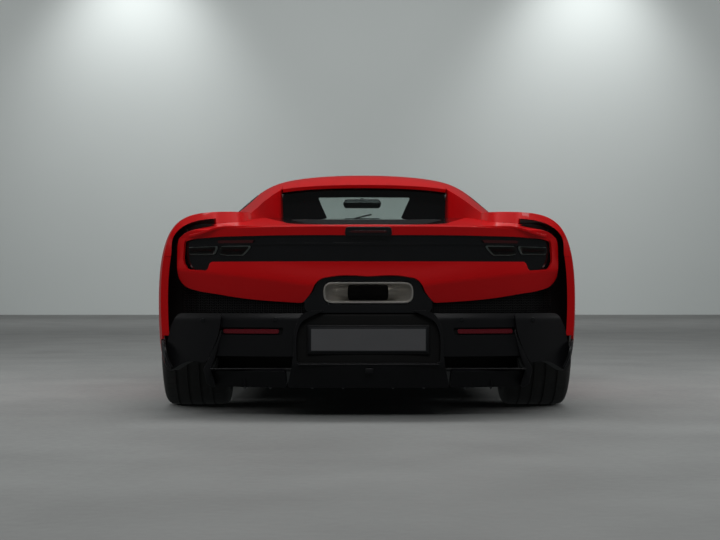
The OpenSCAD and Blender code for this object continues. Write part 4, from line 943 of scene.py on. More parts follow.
# Exhaust: a rounded oblong tip in a black surround
TIP_Z = 540
TIP = [(-196, 494), (196, 494), (196, 586), (-196, 586)]
tail_piece("exhaust_surround", [(-60, 452), (282, 452), (286, 500), (246, 548), (234, 578),
                                (210, 602), (172, 611), (-60, 611)], GLOSS_BLACK,
           inset=22, wall=8, edge=2, holes=[[(-260, 489), (202, 489), (202, 591), (-260, 591)]],
           corner=40)
tip = bmesh.new()
ring = [tip.verts.new((x, -2236, z)) for x, z in rounded(TIP, corner=42)]
loop = [tip.edges.new((a, b)) for a, b in zip(ring, ring[1:] + ring[:1])]
for dy, share, high in ((16, 0.985, 0.98), (44, 0.86, 0.96), (60, 0.55, 0.93)):
    out = bmesh.ops.extrude_edge_only(tip, edges=loop)
    loop = only(out, bmesh.types.BMEdge)
    for v in only(out, bmesh.types.BMVert):
        v.co = (v.co.x * share, v.co.y + dy, TIP_Z + (v.co.z - TIP_Z) * high)
piece("exhaust_tip", point_outward(outward(tip), (0, 0, 0)), BRUSHED, wall=7, edge=1.5,
      hides=["exhaust"])
piece("exhaust_inner", block([(x * 0.5, TIP_Z + (z - TIP_Z) * 0.92) for x, z in TIP], 1,
                             -2124, -2112, 36), MATT_BLACK, slot="structure", flat=True)
piece("silencer", box(-410, 410, -2090, -1940, 455, 615, bevel=40, segments=5), CAST)


# Lower bumper: outer wings, recessed faces, side strakes, blades and the plate pod
def top_turned_in(x, z):
    return 10 * smooth_step((z - 425) / 30)


tail_piece("bumper_wing", [(628, 450), (776, 450), (822, 444), (846, 410), (869, 331),
                           (883, 232), (862, 190), (776, 236), (694, 232), (641, 362)],
           SATIN_BLACK, inset=-19, wall=60, edge=3, halves=True, corner=16, lean=top_turned_in)
tail_piece("bumper_face", [(236, 450), (668, 450), (676, 340), (694, 262), (325, 262),
                           (300, 400)], SATIN_BLACK, inset=-4, wall=30, edge=2.5, halves=True,
           corner=6, holes=[[(659, 356), (662, 388), (367, 388), (372, 356)]],
           lean=top_turned_in, hides=["rear_bumper"])
tail_piece("reflector_bed", [(664, 350), (667, 394), (362, 394), (367, 350)], MATT_BLACK,
           inset=8, wall=4, edge=0, halves=True)
tail_piece("reflector", [(635, 361), (637, 381), (388, 381), (392, 361)], RED_STRIP,
           inset=1, wall=6, edge=1.5, halves=True, corner=5, step=6)
tail_piece("bumper_blade", [(352, 126), (358, 198), (655, 198), (702, 160), (672, 126)],
           SATIN_BLACK, inset=-8, wall=26, edge=3, halves=True,
           lean=lambda x, z: (198 - z) * 0.5)
tail_piece("opening_mesh_bed", [(330, 196), (330, 266), (700, 266), (712, 196)], MATT_BLACK,
           inset=52, wall=3, edge=0, halves=True)
tail_piece("pod_frame", [(-60, 462), (246, 462), (284, 444), (302, 414), (324, 234),
                         (346, 126), (-60, 126)], SATIN_BLACK, inset=-19, wall=34, edge=3,
           holes=[[(-320, 430), (258, 430), (284, 410), (292, 395), (306, 236), (-320, 236)]],
           corner=14, lean=lambda x, z: max(0, 228 - z) * 0.35)
tail_piece("pod_recess", [(-60, 446), (266, 446), (304, 412), (320, 222), (-60, 222)],
           MATT_BLACK, inset=4, wall=20, edge=0)
pair("diffuser_strake", block([(640, 376), (664, 376), (694, 262), (722, 205), (706, 140),
                               (680, 124), (668, 132), (690, 205), (668, 262)], 1,
                              -2176, -1990, bevel=3), SATIN_BLACK)
for i, (x, z, inset) in enumerate([(710, 420, -19), (403, 423, -4)]):
    dot = bevelled(rotated(cone(9, 9, 8), 90, "X"), 1)
    moved(dot, x * (1 - inset / TAIL_HALF), tail_y(x) + inset - 1, z)
    pair(f"parking_sensor_{i + 1}", dot, GLOSS_BLACK, slot="satin_black")
piece("plate_holder", box(-266, 266, -2262, -2248, 272, 400, bevel=4, segments=3), SATIN_BLACK)
piece("plate_blank", box(-256, 256, -2266, -2259, 281, 391, bevel=3, segments=3), PLATE,
      hides=["number_plate"])
rim_line = block([(-248, 289), (248, 289), (248, 383), (-248, 383)], 1, -2267.2, -2265.5)
bmesh.ops.inset_individual(rim_line, thickness=2,
                           faces=[f for f in rim_line.faces if abs(f.normal.y) > 0.9])
gone = [f for f in rim_line.faces if f.calc_area() > 45000 and abs(f.normal.y) > 0.9]
bmesh.ops.delete(rim_line, geom=gone, context="FACES")
piece("plate_border", rim_line, PLATE_BORDER, flat=True)
piece("tow_cover", box(-15, 21, -2286, -2276, 190, 214, bevel=3), SATIN_BLACK)
piece("pod_ledge", box(-306, 306, -2282, -2240, 224, 234, bevel=4, segments=3), SATIN_BLACK)

# Diffuser floor with its fins
floor_sheet = grid_sheet(np.linspace(0, 690, 40), np.linspace(-2215, -1935, 24), lambda x, y: (
    x, y, np.interp(y, (-2215, -2100, -1935), (206, 176, 132))))
piece("diffuser_floor", mirrored_half(floor_sheet), SATIN_BLACK, wall=6, edge=1.5)
FIN = [(-2205, 206), (-2190, 130), (-2150, 116), (-1950, 122), (-1950, 136)]
for i, x in enumerate((110, 245, 430, 540)):
    pair(f"diffuser_fin_{i + 1}", block(FIN, 0, x - 4, x + 4, bevel=2), SATIN_BLACK)

# ---------------------------------------------------------------- deck and engine cover

def deck_sheet(outline, lift=0.0, holes=(), corner=14.0, step=16.0):
    """A panel drawn from above and laid on the deck's line."""
    pts = np.array(outline, dtype=float)
    x1, y0, y1 = pts[:, 0].max(), pts[:, 1].min(), pts[:, 1].max()

    def on_deck(x, y):
        drop = 44 * smooth_step((abs(x) - 620) / 200) * smooth_step((-1850 - y) / 200)
        return x, y, deck_z(y) + lift - drop
    bm = grid_sheet(np.linspace(0, x1, int(x1 / step) + 2),
                    np.linspace(y0, y1, int((y1 - y0) / step) + 2), on_deck)
    trim(bm, plan(outline, corner=corner), *without(*[plan(h, corner=corner) for h in holes]))
    return point_outward(mirrored_half(bm), UP)


def grown(points, grow):
    """An outline moved outwards by a little, for the opening round a panel."""
    pts = np.array(points, dtype=float)
    d = np.roll(pts, -1, 0) - np.roll(pts, 1, 0)
    d /= np.linalg.norm(d, axis=1)[:, None]
    area = (pts[:, 0] * np.roll(pts[:, 1], -1) - np.roll(pts[:, 0], -1) * pts[:, 1]).sum()
    return pts + np.stack([d[:, 1], -d[:, 0]], 1) * grow * (1 if area > 0 else -1)


DECK = [(-60, -1700), (300, -1600), (440, -1300), (470, -1100), (502, -1100), (527, -1400),
        (557, -1650), (602, -1797), (697, -1907), (795, -1997), (816, -2060), (778, -2118),
        (600, -2181), (400, -2218), (200, -2236), (-60, -2240)]
COVER_WINDOW = [(-60, -850), (0, -850), (356, -850), (396, -960), (418, -1100), (408, -1250),
                (376, -1430), (0, -1455), (-60, -1455)]
COVER_VENT = [(-60, -1510), (0, -1510), (360, -1485), (318, -1700), (262, -1880), (0, -1905),
              (-60, -1905)]
piece("deck_skin", deck_sheet(DECK, holes=[grown(ENGINE_COVER, SHUT)]), PAINT,
      hides=["tail_deck"], **SKIN)
piece("cover_frame", deck_sheet(ENGINE_COVER, holes=[COVER_WINDOW, COVER_VENT]), GLOSS_BLACK,
      "engine_cover", "cover_glass", wall=14, edge=1.5, hides=["engine_cover"])
piece("cover_glass", deck_sheet(COVER_WINDOW, lift=-2), SMOKED, "engine_cover", wall=5, edge=1)
for i in range(9):
    y = -1535 - i * 41
    half = float(np.interp(y, (-1880, -1700, -1485), (262, 318, 360))) + 4
    slat = box(-half, half, y - 19, y + 19, -3, 3, bevel=1.5)
    rotated(slat, -16, "X", about=(0, y, 0))
    piece(f"cover_slat_{i + 1}", moved(slat, 0, 0, deck_z(y) - 7), SATIN_BLACK, "engine_cover")

# ---------------------------------------------------------------- seats

SEAT_X = 370
BACK_Y, BACK_Z = (-214, -250, -292, -330, -372, -404), (348, 440, 560, 670, 770, 850)
FRAMES, VOXEL, PRESSURE, MOST_SWELL = 20, 0.0062, 4.0, 0.022


def pad_ring(y, z, up, half_width, half_height, bolster=0, start=200, square=0.55):
    """A soft-cornered section across the seat, with its sides raised along up."""
    ring = []
    for c, s in [(math.cos(math.tau * k / 56), math.sin(math.tau * k / 56)) for k in range(56)]:
        x = half_width * squared(c, square)
        h = half_height * squared(s, square)
        if s > 0:
            h += bolster * smooth_step((abs(x) - start) / 55) * s ** square
        ring.append(Vector((x, 0, 0)) + Vector((SEAT_X, y, z)) + Vector(up) * h)
    return ring


def closing(t, margin, rate):
    """Draws a pad in at its two ends."""
    return min(1, (min(t, 1 - t) + margin) * rate) ** 0.5


def cushion_ring(t):
    y = 138 - 330 * t
    end = closing(t, 0.012, 9)
    top = np.interp(y, (-195, -60, 60, 138), (322, 326, 350, 322))
    low = np.interp(y, (-195, 60, 138), (262, 268, 280))
    return pad_ring(y, (top + low) / 2, UP, 248 * (0.9 + 0.1 * end), (top - low) / 2 * end,
                    46 * end, 150)


def back_ring(t):
    z = 342 + 512 * t
    end = closing(t, 0.012, 9)
    width = np.interp(t, (0, 0.35, 0.62, 0.85, 1), (226, 246, 244, 190, 146))
    raised = np.interp(t, (0, 0.2, 0.6, 0.82, 1), (52, 62, 56, 12, 0))
    return pad_ring(np.interp(z, BACK_Z, BACK_Y) - 44, z, (0, 0.94, 0.34),
                    width * (0.9 + 0.1 * end), 44 * end, raised * end, 142)


def head_ring(t):
    z = 866 + 104 * t
    end = closing(t, 0.02, 5)
    return pad_ring(np.interp(z, (866, 970), (-410, -428)), z, FRONT,
                    122 * (0.78 + 0.22 * end), 34 * end, square=0.7)


def baked(obj):
    """The object's mesh with its modifiers worked in; the object itself is removed."""
    graph = bpy.context.evaluated_depsgraph_get()
    mesh = bpy.data.meshes.new_from_object(obj.evaluated_get(graph))
    old = obj.data
    bpy.data.objects.remove(obj)
    bpy.data.meshes.remove(old)
    return mesh


def points_of(mesh):
    co = np.empty(len(mesh.vertices) * 3, dtype=np.float32)
    mesh.vertices.foreach_get("co", co)
    return co.reshape(-1, 3)


def inflated(rings, name, held):
    """A pad: remeshed evenly, blown up as cloth, with each point's move capped and eased by
    how firmly its back is held."""
    obj = in_scene(loft(bmesh.new(), rings), name)
    mod = obj.modifiers.new("Even", "REMESH")
    mod.mode, mod.voxel_size = "VOXEL", VOXEL
    mesh = baked(obj)
    start = points_of(mesh)
    obj = linked(bpy.data.objects.new(name, mesh))
    cloth = obj.modifiers.new("Cloth", "CLOTH")
    cloth.settings.use_pressure = True
    cloth.settings.uniform_pressure_force = PRESSURE
    cloth.settings.effector_weights.gravity = 0
    cloth.point_cache.frame_start, cloth.point_cache.frame_end = 1, FRAMES
    for frame_number in range(1, FRAMES + 1):
        bpy.context.scene.frame_set(frame_number)
    mesh = baked(obj)
    bpy.context.scene.frame_set(1)
    move = points_of(mesh) - start
    far = np.linalg.norm(move, axis=1, keepdims=True)
    move *= np.minimum(1, MOST_SWELL / np.maximum(far, 1e-9))
    start += move * held(start)[:, None]
    mesh.vertices.foreach_set("co", start.ravel())
    mesh.update()
    return mesh


def grooves(bm, depth, lines, wide=5.0):
    """Presses sewn channels in: lines gives each point's distance from its nearest seam."""
    bm.normal_update()
    for v in bm.verts:
        d = lines(v.co / MM)
        if d < wide * 3:
            v.co -= v.normal * depth * MM * math.exp(-(d / wide) ** 2)


NO_SEAM = 99.0


def cushion_seams(p):
    x = abs(p.x - SEAT_X)
    if p.z <= 300 or x > 190:
        return NO_SEAM
    across = abs((p.y + 150) % 62 - 31) if x < 150 and -170 < p.y < 110 else NO_SEAM
    return min(abs(x - 152), across)


def back_seams(p):
    x = abs(p.x - SEAT_X)
    if p.y < np.interp(p.z, BACK_Z, BACK_Y) - 40 or x > 190 or p.z > 846:
        return NO_SEAM
    across = abs((p.z - 372) % 66 - 33) if x < 144 and 380 < p.z < 730 else NO_SEAM
    return min(abs(x - 146 + 0.06 * max(0, p.z - 700)), across)


def stitches(path, tree, way, lift=0.4, spacing=5.2):
    """Short threads along a path, each laid on the surface found along way."""
    bm = bmesh.new()
    for a, b in zip(path, path[1:]):
        count = max(1, int((b - a).length / spacing))
        for i in range(count):
            ends = []
            for t in (i + 0.12, i + 0.82):
                hit, normal = tree.ray_cast(a.lerp(b, t / count) - way * 150, way)[:2]
                ends.append((hit + normal * lift, normal) if hit else None)
            if None in ends:
                continue
            (p, n), (q, _) = ends
            if (q - p).length > spacing * 2:
                continue
            out, up, mid = (q - p).cross(n).normalized() * 0.55, n * 0.6, p.lerp(q, 0.5)
            loft(bm, [[p + out, p + up, p - out, p - up],
                      [mid + out + up * 0.5, mid + up * 1.8, mid - out + up * 0.5, mid - up],
                      [q + out, q + up, q - out, q - up]])
    return bm


def back_held(p):
    line = np.interp(p[:, 2], np.array(BACK_Z) * MM, np.array(BACK_Y) * MM)
    return np.clip((p[:, 1] - line + 0.075) / 0.04, 0.0, 1.0)


pads = {}
for name, ring_at, count, seams, fill, held in (
        ("seat_cushion", cushion_ring, 26, cushion_seams, 0.62,
         lambda p: np.clip((p[:, 2] - 0.285) / 0.04, 0.0, 1.0)),
        ("seat_back", back_ring, 30, back_seams, 0.6, back_held),
        ("headrest", head_ring, 16, None, 0.5, lambda p: np.ones(len(p)) * 0.6)):
    mesh = inflated([ring_at(t) for t in np.linspace(0, 1, count)], name, held)
    shape = bmesh.new()
    shape.from_mesh(mesh)
    if seams:
        grooves(shape, 5.0, seams)
    bmesh.ops.scale(shape, vec=(1 / MM,) * 3, verts=shape.verts[:])
    pads[name] = BVHTree.FromBMesh(shape)
    for pad in pair(name, shape, LEATHER, subsurf=1,
                    hides=["{}_seat"] if name == "seat_cushion" else ()):
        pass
BACK_WAY = Vector((0, -0.94, -0.34)).normalized()
up_the_back = np.linspace(400, 700, 26)
for offset in (145, 159):
    for part, sides, path, way in (
            ("cushion", offset, [(y, 340) for y in np.linspace(104, -150, 24)], DOWN),
            ("back", offset - 6, list(zip(np.interp(up_the_back, BACK_Z, BACK_Y), up_the_back)),
             BACK_WAY)):
        for tag, x in (("outer", SEAT_X + sides), ("inner", SEAT_X - sides)):
            bm = stitches([Vector((x, y, z)) for y, z in path], pads[f"seat_{part}"], way)
            if bm.verts:
                pair(f"{part}_thread_{tag}_{offset}", bm, THREAD)

# The hard shell behind and under the pads, and its runners
rings = []
for y, z, ny, nz, half in (
        (150, 286, 0.1, -1, 214), (40, 262, 0, -1, 236), (-120, 250, 0, -1, 240),
        (-262, 250, -0.6, -0.8, 238), (-330, 330, -1, -0.3, 240), (-372, 450, -1, -0.3, 246),
        (-420, 600, -1, -0.3, 246), (-452, 700, -1, -0.3, 240), (-478, 780, -1, -0.25, 200),
        (-492, 862, -0.9, 0.1, 150)):
    way = Vector((0, ny, nz)).normalized()
    rings.append([Vector((SEAT_X + half * squared(c, 0.5), y, z)) - way * (10 + 9 * squared(s, 0.5))
                  for c, s in circle(24)])
pair("seat_shell", loft(bmesh.new(), rings), GLOSS_BLACK, subsurf=1)
runner = bmesh.new()
for x in (190, 550):
    add_box(runner, x - 18, x + 18, -298, 118, 145, 176)
    add_box(runner, x - 10, x + 10, -240, 60, 176, 256)
pair("seat_runner", bevelled(runner, 3), STRUCTURE)

# ---------------------------------------------------------------- cabin

# Dashboard, binnacle, centre tunnel and vents
piece("dashboard_top", block([(566, 566), (524, 640), (506, 716), (540, 768), (640, 798),
                              (738, 790), (748, 566)], 0, -686, 686, 34, 10, 3), DASH,
      hides=["dashboard"])
rings = []
for x in np.linspace(-680, 680, 40):
    swell = 10 * math.exp(-((x - 370) / 260) ** 2)
    rings.append([Vector((x, 512 - swell + 24 * c, 694 + 16 * s)) for c, s in circle(16)])
piece("dashboard_roll", loft(bmesh.new(), rings), LEATHER)
piece("binnacle", block([(516, 704), (480, 768), (508, 810), (598, 804), (598, 710)], 0,
                        -532, -208, 16, 12, 4), DASH)
dial = block([(-512, 0), (-228, 0), (-236, 62), (-504, 62)], 2, -3, 3, 14)
piece("instrument_display", bevelled(moved(rotated(dial, 118, "X"), 0, 512, 706), 2),
      GLOSS_BLACK)
piece("centre_tunnel", block([(-326, 148), (-326, 408), (-120, 424), (246, 420), (470, 636),
                              (560, 640), (690, 410), (690, 148)], 0, -93, 93, 26, 14, 4),
      LEATHER)
piece("tunnel_plate", box(-58, 58, -40, 190, 418, 427, bevel=4, segments=3), ALLOY)
for i, (x, y) in enumerate(((-26, 150), (26, 150), (-26, 80), (26, 80), (0, 10))):
    piece(f"tunnel_knob_{i + 1}", bevelled(moved(cone(15, 13, 16), x, y, 432), 2), GLOSS_BLACK)
for i, x in enumerate((-610, -130, 130, 610)):
    vent = loft(bmesh.new(), [
        [Vector((x + r * c, y, 728 + r * s)) for c, s in circle(40)]
        for y, r in ((548, 30), (504, 37), (496, 37), (494, 33), (502, 30), (530, 26))])
    for z in (-14, 0, 14):
        w = math.sqrt(29 ** 2 - z * z)
        add_box(vent, x - w, x + w, 500, 512, 727 + z, 729.4 + z)
    piece(f"air_vent_{i + 1}", vent, GLOSS_BLACK)

# Steering wheel, built flat and laid back on its column
COLUMN = Matrix.Translation((-370, 330, 712)) @ Matrix.Rotation(math.radians(66), 4, "X")
RIM_REACH, RIM_STEPS = 178.0, 120


def on_column(bm):
    bmesh.ops.transform(bm, matrix=COLUMN, verts=bm.verts[:])
    return bm


def rim_at(step):
    c, s = math.cos(math.tau * step / RIM_STEPS), math.sin(math.tau * step / RIM_STEPS)
    reach = min(RIM_REACH, 152 / -s) if s < -0.1 else RIM_REACH
    return Vector((c * reach, s * reach, 0))


rings = []
for k in range(RIM_STEPS):
    at = (rim_at(k) * 2 + rim_at(k + 1.6) + rim_at(k - 1.6)) / 4
    fat = 14.6 if abs(math.sin(math.tau * k / RIM_STEPS)) > 0.35 else 15.4
    rings.append([at + at.normalized() * fat * c + Vector((0, 0, fat)) * s
                  for c, s in circle(18)])
piece("steering_rim", on_column(loft(bmesh.new(), rings, closed=True)), LEATHER,
      "steering_wheel", hides=["steering_wheel"])
spokes = bmesh.new()
for angle, reach, half in ((-8, 168, 17), (188, 168, 17), (270, 146, 24)):
    rotated(spokes, angle, "Z", verts=add_box(spokes, 44, reach, -half, half, -9, 4))
piece("steering_spokes", on_column(bevelled(spokes, 4, 3)), GLOSS_BLACK, "steering_wheel")
boss = block([(-64, -46), (64, -46), (74, 30), (40, 50), (-40, 50), (-74, 30)], 2, -26, 12,
             22, 9, 4)
piece("steering_boss", on_column(boss), LEATHER, "steering_wheel")
for sx, word in ((-1, "left"), (1, "right")):
    paddle = block([(sx * 70, -34), (sx * 146, -60), (sx * 150, 74), (sx * 78, 40)], 2,
                   -32, -28, 12, 1.2)
    piece(f"shift_paddle_{word}", on_column(paddle), BRUSHED)

# Door cards, sill carpet and rear bulkhead
card = grid_sheet(np.linspace(-700, 740, 110), np.linspace(222, 878, 60),
                  lambda y, z: (786, y, z))
trim(card, side(DOOR, -26), lambda co: co[:, 2] - 878, above(2, 232),
     lambda co: co[:, 1] - 700)
for v in card.verts:
    v.co.x = 771 + 5 * smooth_step((v.co.z - 640) / 60) - 3 * smooth_step((430 - v.co.z) / 60)
pair("door_card", card, LEATHER, DOORS, wall=-6, edge=1.5)
pair("door_armrest", block([(-420, 556), (-380, 590), (160, 606), (230, 640), (250, 600),
                            (160, 556)], 0, 722, 774, 22, 12, 4), DASH, DOORS)
pair("door_pull", box(744, 768, 40, 170, 640, 652, bevel=4, segments=3), BRUSHED, DOORS)
speaker = moved(rotated(cone(76, 70, 8, 64), -90, "Y"), 766, 420, 400)
pair("door_speaker", bevelled(speaker, 3), GRILLE, DOORS)
piece("bulkhead_trim", block([(-700, 150), (700, 150), (700, 640), (560, 884), (-560, 884),
                              (-700, 640)], 1, -614, -604, 60, 3), LEATHER)
piece("cabin_carpet", box(-752, 752, -600, 740, 145, 150), CARPET)

# Rear window surround, interior mirror and roof lining
surround = grid_sheet(np.linspace(0, 456, 64), np.linspace(888, 1094, 36),
                      lambda x, z: (x, -646, z))
trim(surround, rear([(-50, 893), (446, 893), (452, 935), (424, 1046), (386, 1082),
                     (-50, 1090)], corner=18),
     *without(rear([(-50, 914), (188, 914), (243, 1038), (-50, 1040)], corner=10)))
piece("rear_window_surround", point_outward(mirrored_half(surround), BACK), GLOSS_BLACK,
      wall=-5, edge=1)
mirror = block([(-104, 1034), (108, 1034), (114, 1070), (100, 1092), (-96, 1092),
                (-110, 1070)], 1, 452, 470, 16, 5, 3)
add_box(mirror, -8, 10, 468, 500, 1070, 1098)
piece("interior_mirror", mirror, GLOSS_BLACK)
piece("interior_mirror_glass", block([(-98, 1040), (102, 1040), (106, 1068), (94, 1086),
                                      (-90, 1086), (-104, 1068)], 1, 450.6, 453, 14), CHROME,
      flat=True)
lining = trim(cabin_sheet(3), plan([(-50, -640), (560, -640), (560, 1100), (-50, 1100)],
                                   smooth=False),
              lambda co: 1040 - co[:, 2], *without(plan(WINDSCREEN, 6)))
for v in lining.verts:
    v.co.z -= 36
    v.co.x *= 0.975
piece("roof_lining", point_outward(mirrored_half(lining), DOWN), ROOF_CLOTH, wall=-3)

# Door mirrors: a painted shell on a black arm, with its glass facing back
MIRROR_FLAT = -0.62
rings = []
for x, half_y, half_z, y, z in ((868, 6, 12, 556, 896), (876, 24, 30, 552, 900),
                                (900, 36, 41, 546, 906), (940, 42, 47, 541, 914),
                                (984, 42, 45, 538, 916), (1010, 34, 34, 537, 916),
                                (1023, 16, 17, 540, 916)):
    rings.append([Vector((x, y + half_y * max(c, MIRROR_FLAT),
                          z + half_z * squared(s, 0.8)))
                  for c, s in circle(28)])
pair("mirror_shell", loft(bmesh.new(), rings), PAINT, DOORS, ["{}_mirror"], subsurf=1)
pair("mirror_glass", block([(884, 884), (900, 872), (994, 876), (1014, 900), (1012, 934),
                            (990, 952), (908, 950), (884, 922)], 1, 508, 516, 14, 2), CHROME,
     DOORS)
arm = loft(bmesh.new(), [[Vector((x + 13 * c * thin, y + 26 * s * 0.8, z + 5 * c))
                          for c, s in circle(16)]
                         for x, y, z, thin in ((826, 542, 842, 1), (850, 546, 862, 0.8),
                                               (884, 548, 884, 0.8), (912, 548, 896, 0.8))])
pair("mirror_arm", arm, GLOSS_BLACK, DOORS)

# ---------------------------------------------------------------- outer fittings

def flank(y, z):
    hit, normal = body_tree.ray_cast(Vector((1500, y, z)), Vector((-1, 0, 0)))[:2]
    return hit, (normal if normal.x > 0 else -normal)


# Door handle blades and the fuel flap's line
rings = []
for t in np.linspace(0, 1, 20):
    hit, normal = flank(-470 + 150 * t, 742 + 6 * t)
    thick = 5.5 * closing(t, 0.02, 8)
    up = normal.cross(Vector(FRONT)).normalized()
    rings.append([hit + normal * (3.0 + thick * c) + up * 11 * s * (thick / 5.5)
                  for c, s in circle(14)])
pair("door_handle", loft(bmesh.new(), rings), GLOSS_BLACK, DOORS)
rings = []
for k in range(72):
    a = math.tau * k / 72
    hit, normal = flank(-1010 + 74 * math.cos(a), 800 + 52 * math.sin(a))
    rings.append([hit + normal * (0.2 + 1.0 * c) + Vector((0, math.cos(a), math.sin(a))) * 1.6 * s
                  for c, s in circle(8)])
piece("fuel_flap_line", flip(loft(bmesh.new(), rings, closed=True)), MATT_BLACK)


# Wiper
def on_screen(x, y, lift):
    for tree in (cabin_tree, body_tree):
        hit, normal = tree.ray_cast(Vector((abs(x), y, FAR)), DOWN)[:2]
        if hit:
            break
    normal = normal if normal.z > 0 else -normal
    return Vector((x, hit.y, hit.z)) + Vector((math.copysign(normal.x, x), normal.y,
                                               normal.z)) * lift


for name, (x0, y0), (x1, y1), wide, lift in (
        ("wiper_arm", (-420, 872), (60, 640), 8, 17),
        ("wiper_blade", (-330, 690), (330, 700), 5, 8)):
    rings = []
    for t in np.linspace(0, 1, 24):
        at = on_screen(x0 + (x1 - x0) * t, y0 + (y1 - y0) * t, lift)
        rings.append([at + Vector((0, wide * c * (1 - 0.4 * t), 5 * s)) for c, s in circle(10)])
    piece(name, loft(bmesh.new(), rings), SATIN_BLACK)


# Nose intakes: a sunk bed with blades across it
def nose_at(x, z):
    hit = nose_tree.ray_cast(Vector((x, 3000, z)), Vector(BACK))[0]
    return hit.y if hit else 1700.0


for name, outline, first_x, levels, put in (
        ("centre_intake", CENTRE_INTAKE, -430, (170, 195, 220, 245), piece),
        ("side_intake", SIDE_INTAKE, 480, (200, 232, 264, 296, 328), pair)):
    field = rear(outline, 3)
    duct = trim(body_sheet(12), rear(outline, 16), above(1, 1750))
    moved(duct, 0, -70, 0)
    if put is piece:
        mirrored_half(duct)
    put(f"{name}_bed", duct, MATT_BLACK, wall=3)
    blades = bmesh.new()
    for z in levels:
        xs = [x for x in np.linspace(first_x, 800, 90)
              if field(np.array([[abs(x), 0, z]]))[0] < 0]
        if len(xs) > 3:
            loft(blades, [[Vector((x, nose_at(abs(x), z) - 22 + 9 * c, z + 2.4 * s))
                           for c, s in circle(10)] for x in xs])
    put(f"{name}_blades", blades, GLOSS_BLACK)

# Splitter blade under the nose
SPLITTER = [(0, 2268), (100, 2268), (300, 2245), (520, 2185), (700, 2080), (815, 1945),
            (880, 1760), (900, 1590)]
piece("splitter_blade", block(SPLITTER + [(-x, y) for x, y in reversed(SPLITTER[1:])], 2,
                              98.4, 117.6, 0, 5, 3, 50), SATIN_BLACK, hides=["front_splitter"])

# Calipers: each straddles its disc behind or ahead of the axle, with its pistons' bulges
CALIPER_SECTION = [(-56, 118), (-31, 118), (-31, 207), (17, 207), (17, 118), (40, 118),
                   (41, 214), (34, 223), (-48, 223), (-56, 214)]
for end, y, r, x, facing, bodies in (
        ("front", FRONT_Y, FRONT_R, FRONT_X, -1, ("left_knuckle", "right_knuckle")),
        ("rear", REAR_Y, REAR_R, REAR_X, 1, ("body", "body"))):
    rings = []
    for t in np.linspace(-33, 33, 34):
        a, swell = math.radians(t), 1 + 0.006 * math.cos(math.radians(t * 16))
        rings.append([Vector((px, facing * math.cos(a) * pr * (swell if pr > 200 else 1),
                              math.sin(a) * pr * (swell if pr > 200 else 1)))
                      for px, pr in CALIPER_SECTION])
    caliper = bevelled(loft(bmesh.new(), rings), 3, 2, angle=40)
    pair(f"{end}_caliper", moved(caliper, x, y, r), CALIPER, bodies, sharp=30)

# Pieces carried over from the CAD model
for node, look in (("chassis_tub", STRUCTURE), ("arch_liners", MATT_BLACK), ("engine", CAST),
                   ("rear_window", GLASS), ("front_arms", STRUCTURE), ("rear_arms", STRUCTURE),
                   ("left_knuckle", CAST), ("right_knuckle", CAST)):
    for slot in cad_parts[node].material_slots:
        slot.material = look

# ---------------------------------------------------------------- wheels

LIP_R, BEAD_R = 267.0, 255.0
PITCHES, PITCH_PARTS = 60, (0.0, 0.10, 0.16, 0.84, 0.90)
GROOVE_DEPTH, GROOVE_HALF = 7.0, 5.5


def copies_round(source, count):
    """Copies of a mesh at even turns round the X axis, added to a fresh one."""
    out = bmesh.new()
    mesh = bpy.data.meshes.new("copy")
    source.to_mesh(mesh)
    source.free()
    for k in range(count):
        start = len(out.verts)
        out.from_mesh(mesh)
        out.verts.ensure_lookup_table()
        rotated(out, k * 360 / count, "X", verts=out.verts[start:])
    bpy.data.meshes.remove(mesh)
    return out


def tread_mesh(width, r):
    """One pitch of the tread spun out and cut across the shoulders, then repeated."""
    h = width / 2
    wall = [(-h + 11, LIP_R - 10), (-h + 9, LIP_R + 3), (-h + 4, LIP_R + 8),
            (-h + 3, LIP_R + 14), (-h + 4, LIP_R + 17), (-h + 1, LIP_R + 22), (-h, r - 44),
            (-h + 2, r - 30), (-h + 6, r - 20), (-h + 13, r - 11), (-h + 24, r - 4.5)]
    tread = []
    for m in (-0.27, -0.09, 0.09, 0.27):
        x, top, floor = m * width, r - 0.2 - abs(m) * 3, r - GROOVE_DEPTH - 1
        tread += [(x - GROOVE_HALF, top), (x - GROOVE_HALF + 1, floor),
                  (x + GROOVE_HALF - 1, floor), (x + GROOVE_HALF, top)]
    bm = bmesh.new()
    verts = [bm.verts.new((x, 0, z)) for x, z in
             wall + tread + [(-x, z) for x, z in reversed(wall)]]
    edges = [bm.edges.new(ends) for ends in zip(verts, verts[1:])]
    turn = math.tau / PITCHES
    for a, b in zip(PITCH_PARTS, PITCH_PARTS[1:] + (1.0,)):
        out = bmesh.ops.extrude_edge_only(bm, edges=edges)
        edges = only(out, bmesh.types.BMEdge)
        rotated(bm, (b - a) * 360 / PITCHES, "X", verts=only(out, bmesh.types.BMVert))
    for v in bm.verts:
        radius = math.hypot(v.co.y, v.co.z)
        phase = abs(math.atan2(v.co.y, v.co.z) / turn) % 1.0
        if abs(v.co.x) > 0.30 * width and radius > r - 22 and 0.05 < phase < 0.2:
            v.co.y *= (radius - 4.0) / radius
            v.co.z *= (radius - 4.0) / radius
    bmesh.ops.remove_doubles(bm, verts=bm.verts[:], dist=0.001)
    bm = copies_round(bm, PITCHES)
    bmesh.ops.remove_doubles(bm, verts=bm.verts[:], dist=0.05)
    for v in bm.verts:
        v.co = Matrix.Rotation(abs(v.co.x) / width * 0.10, 3, "X") @ v.co
    return outward(bm)


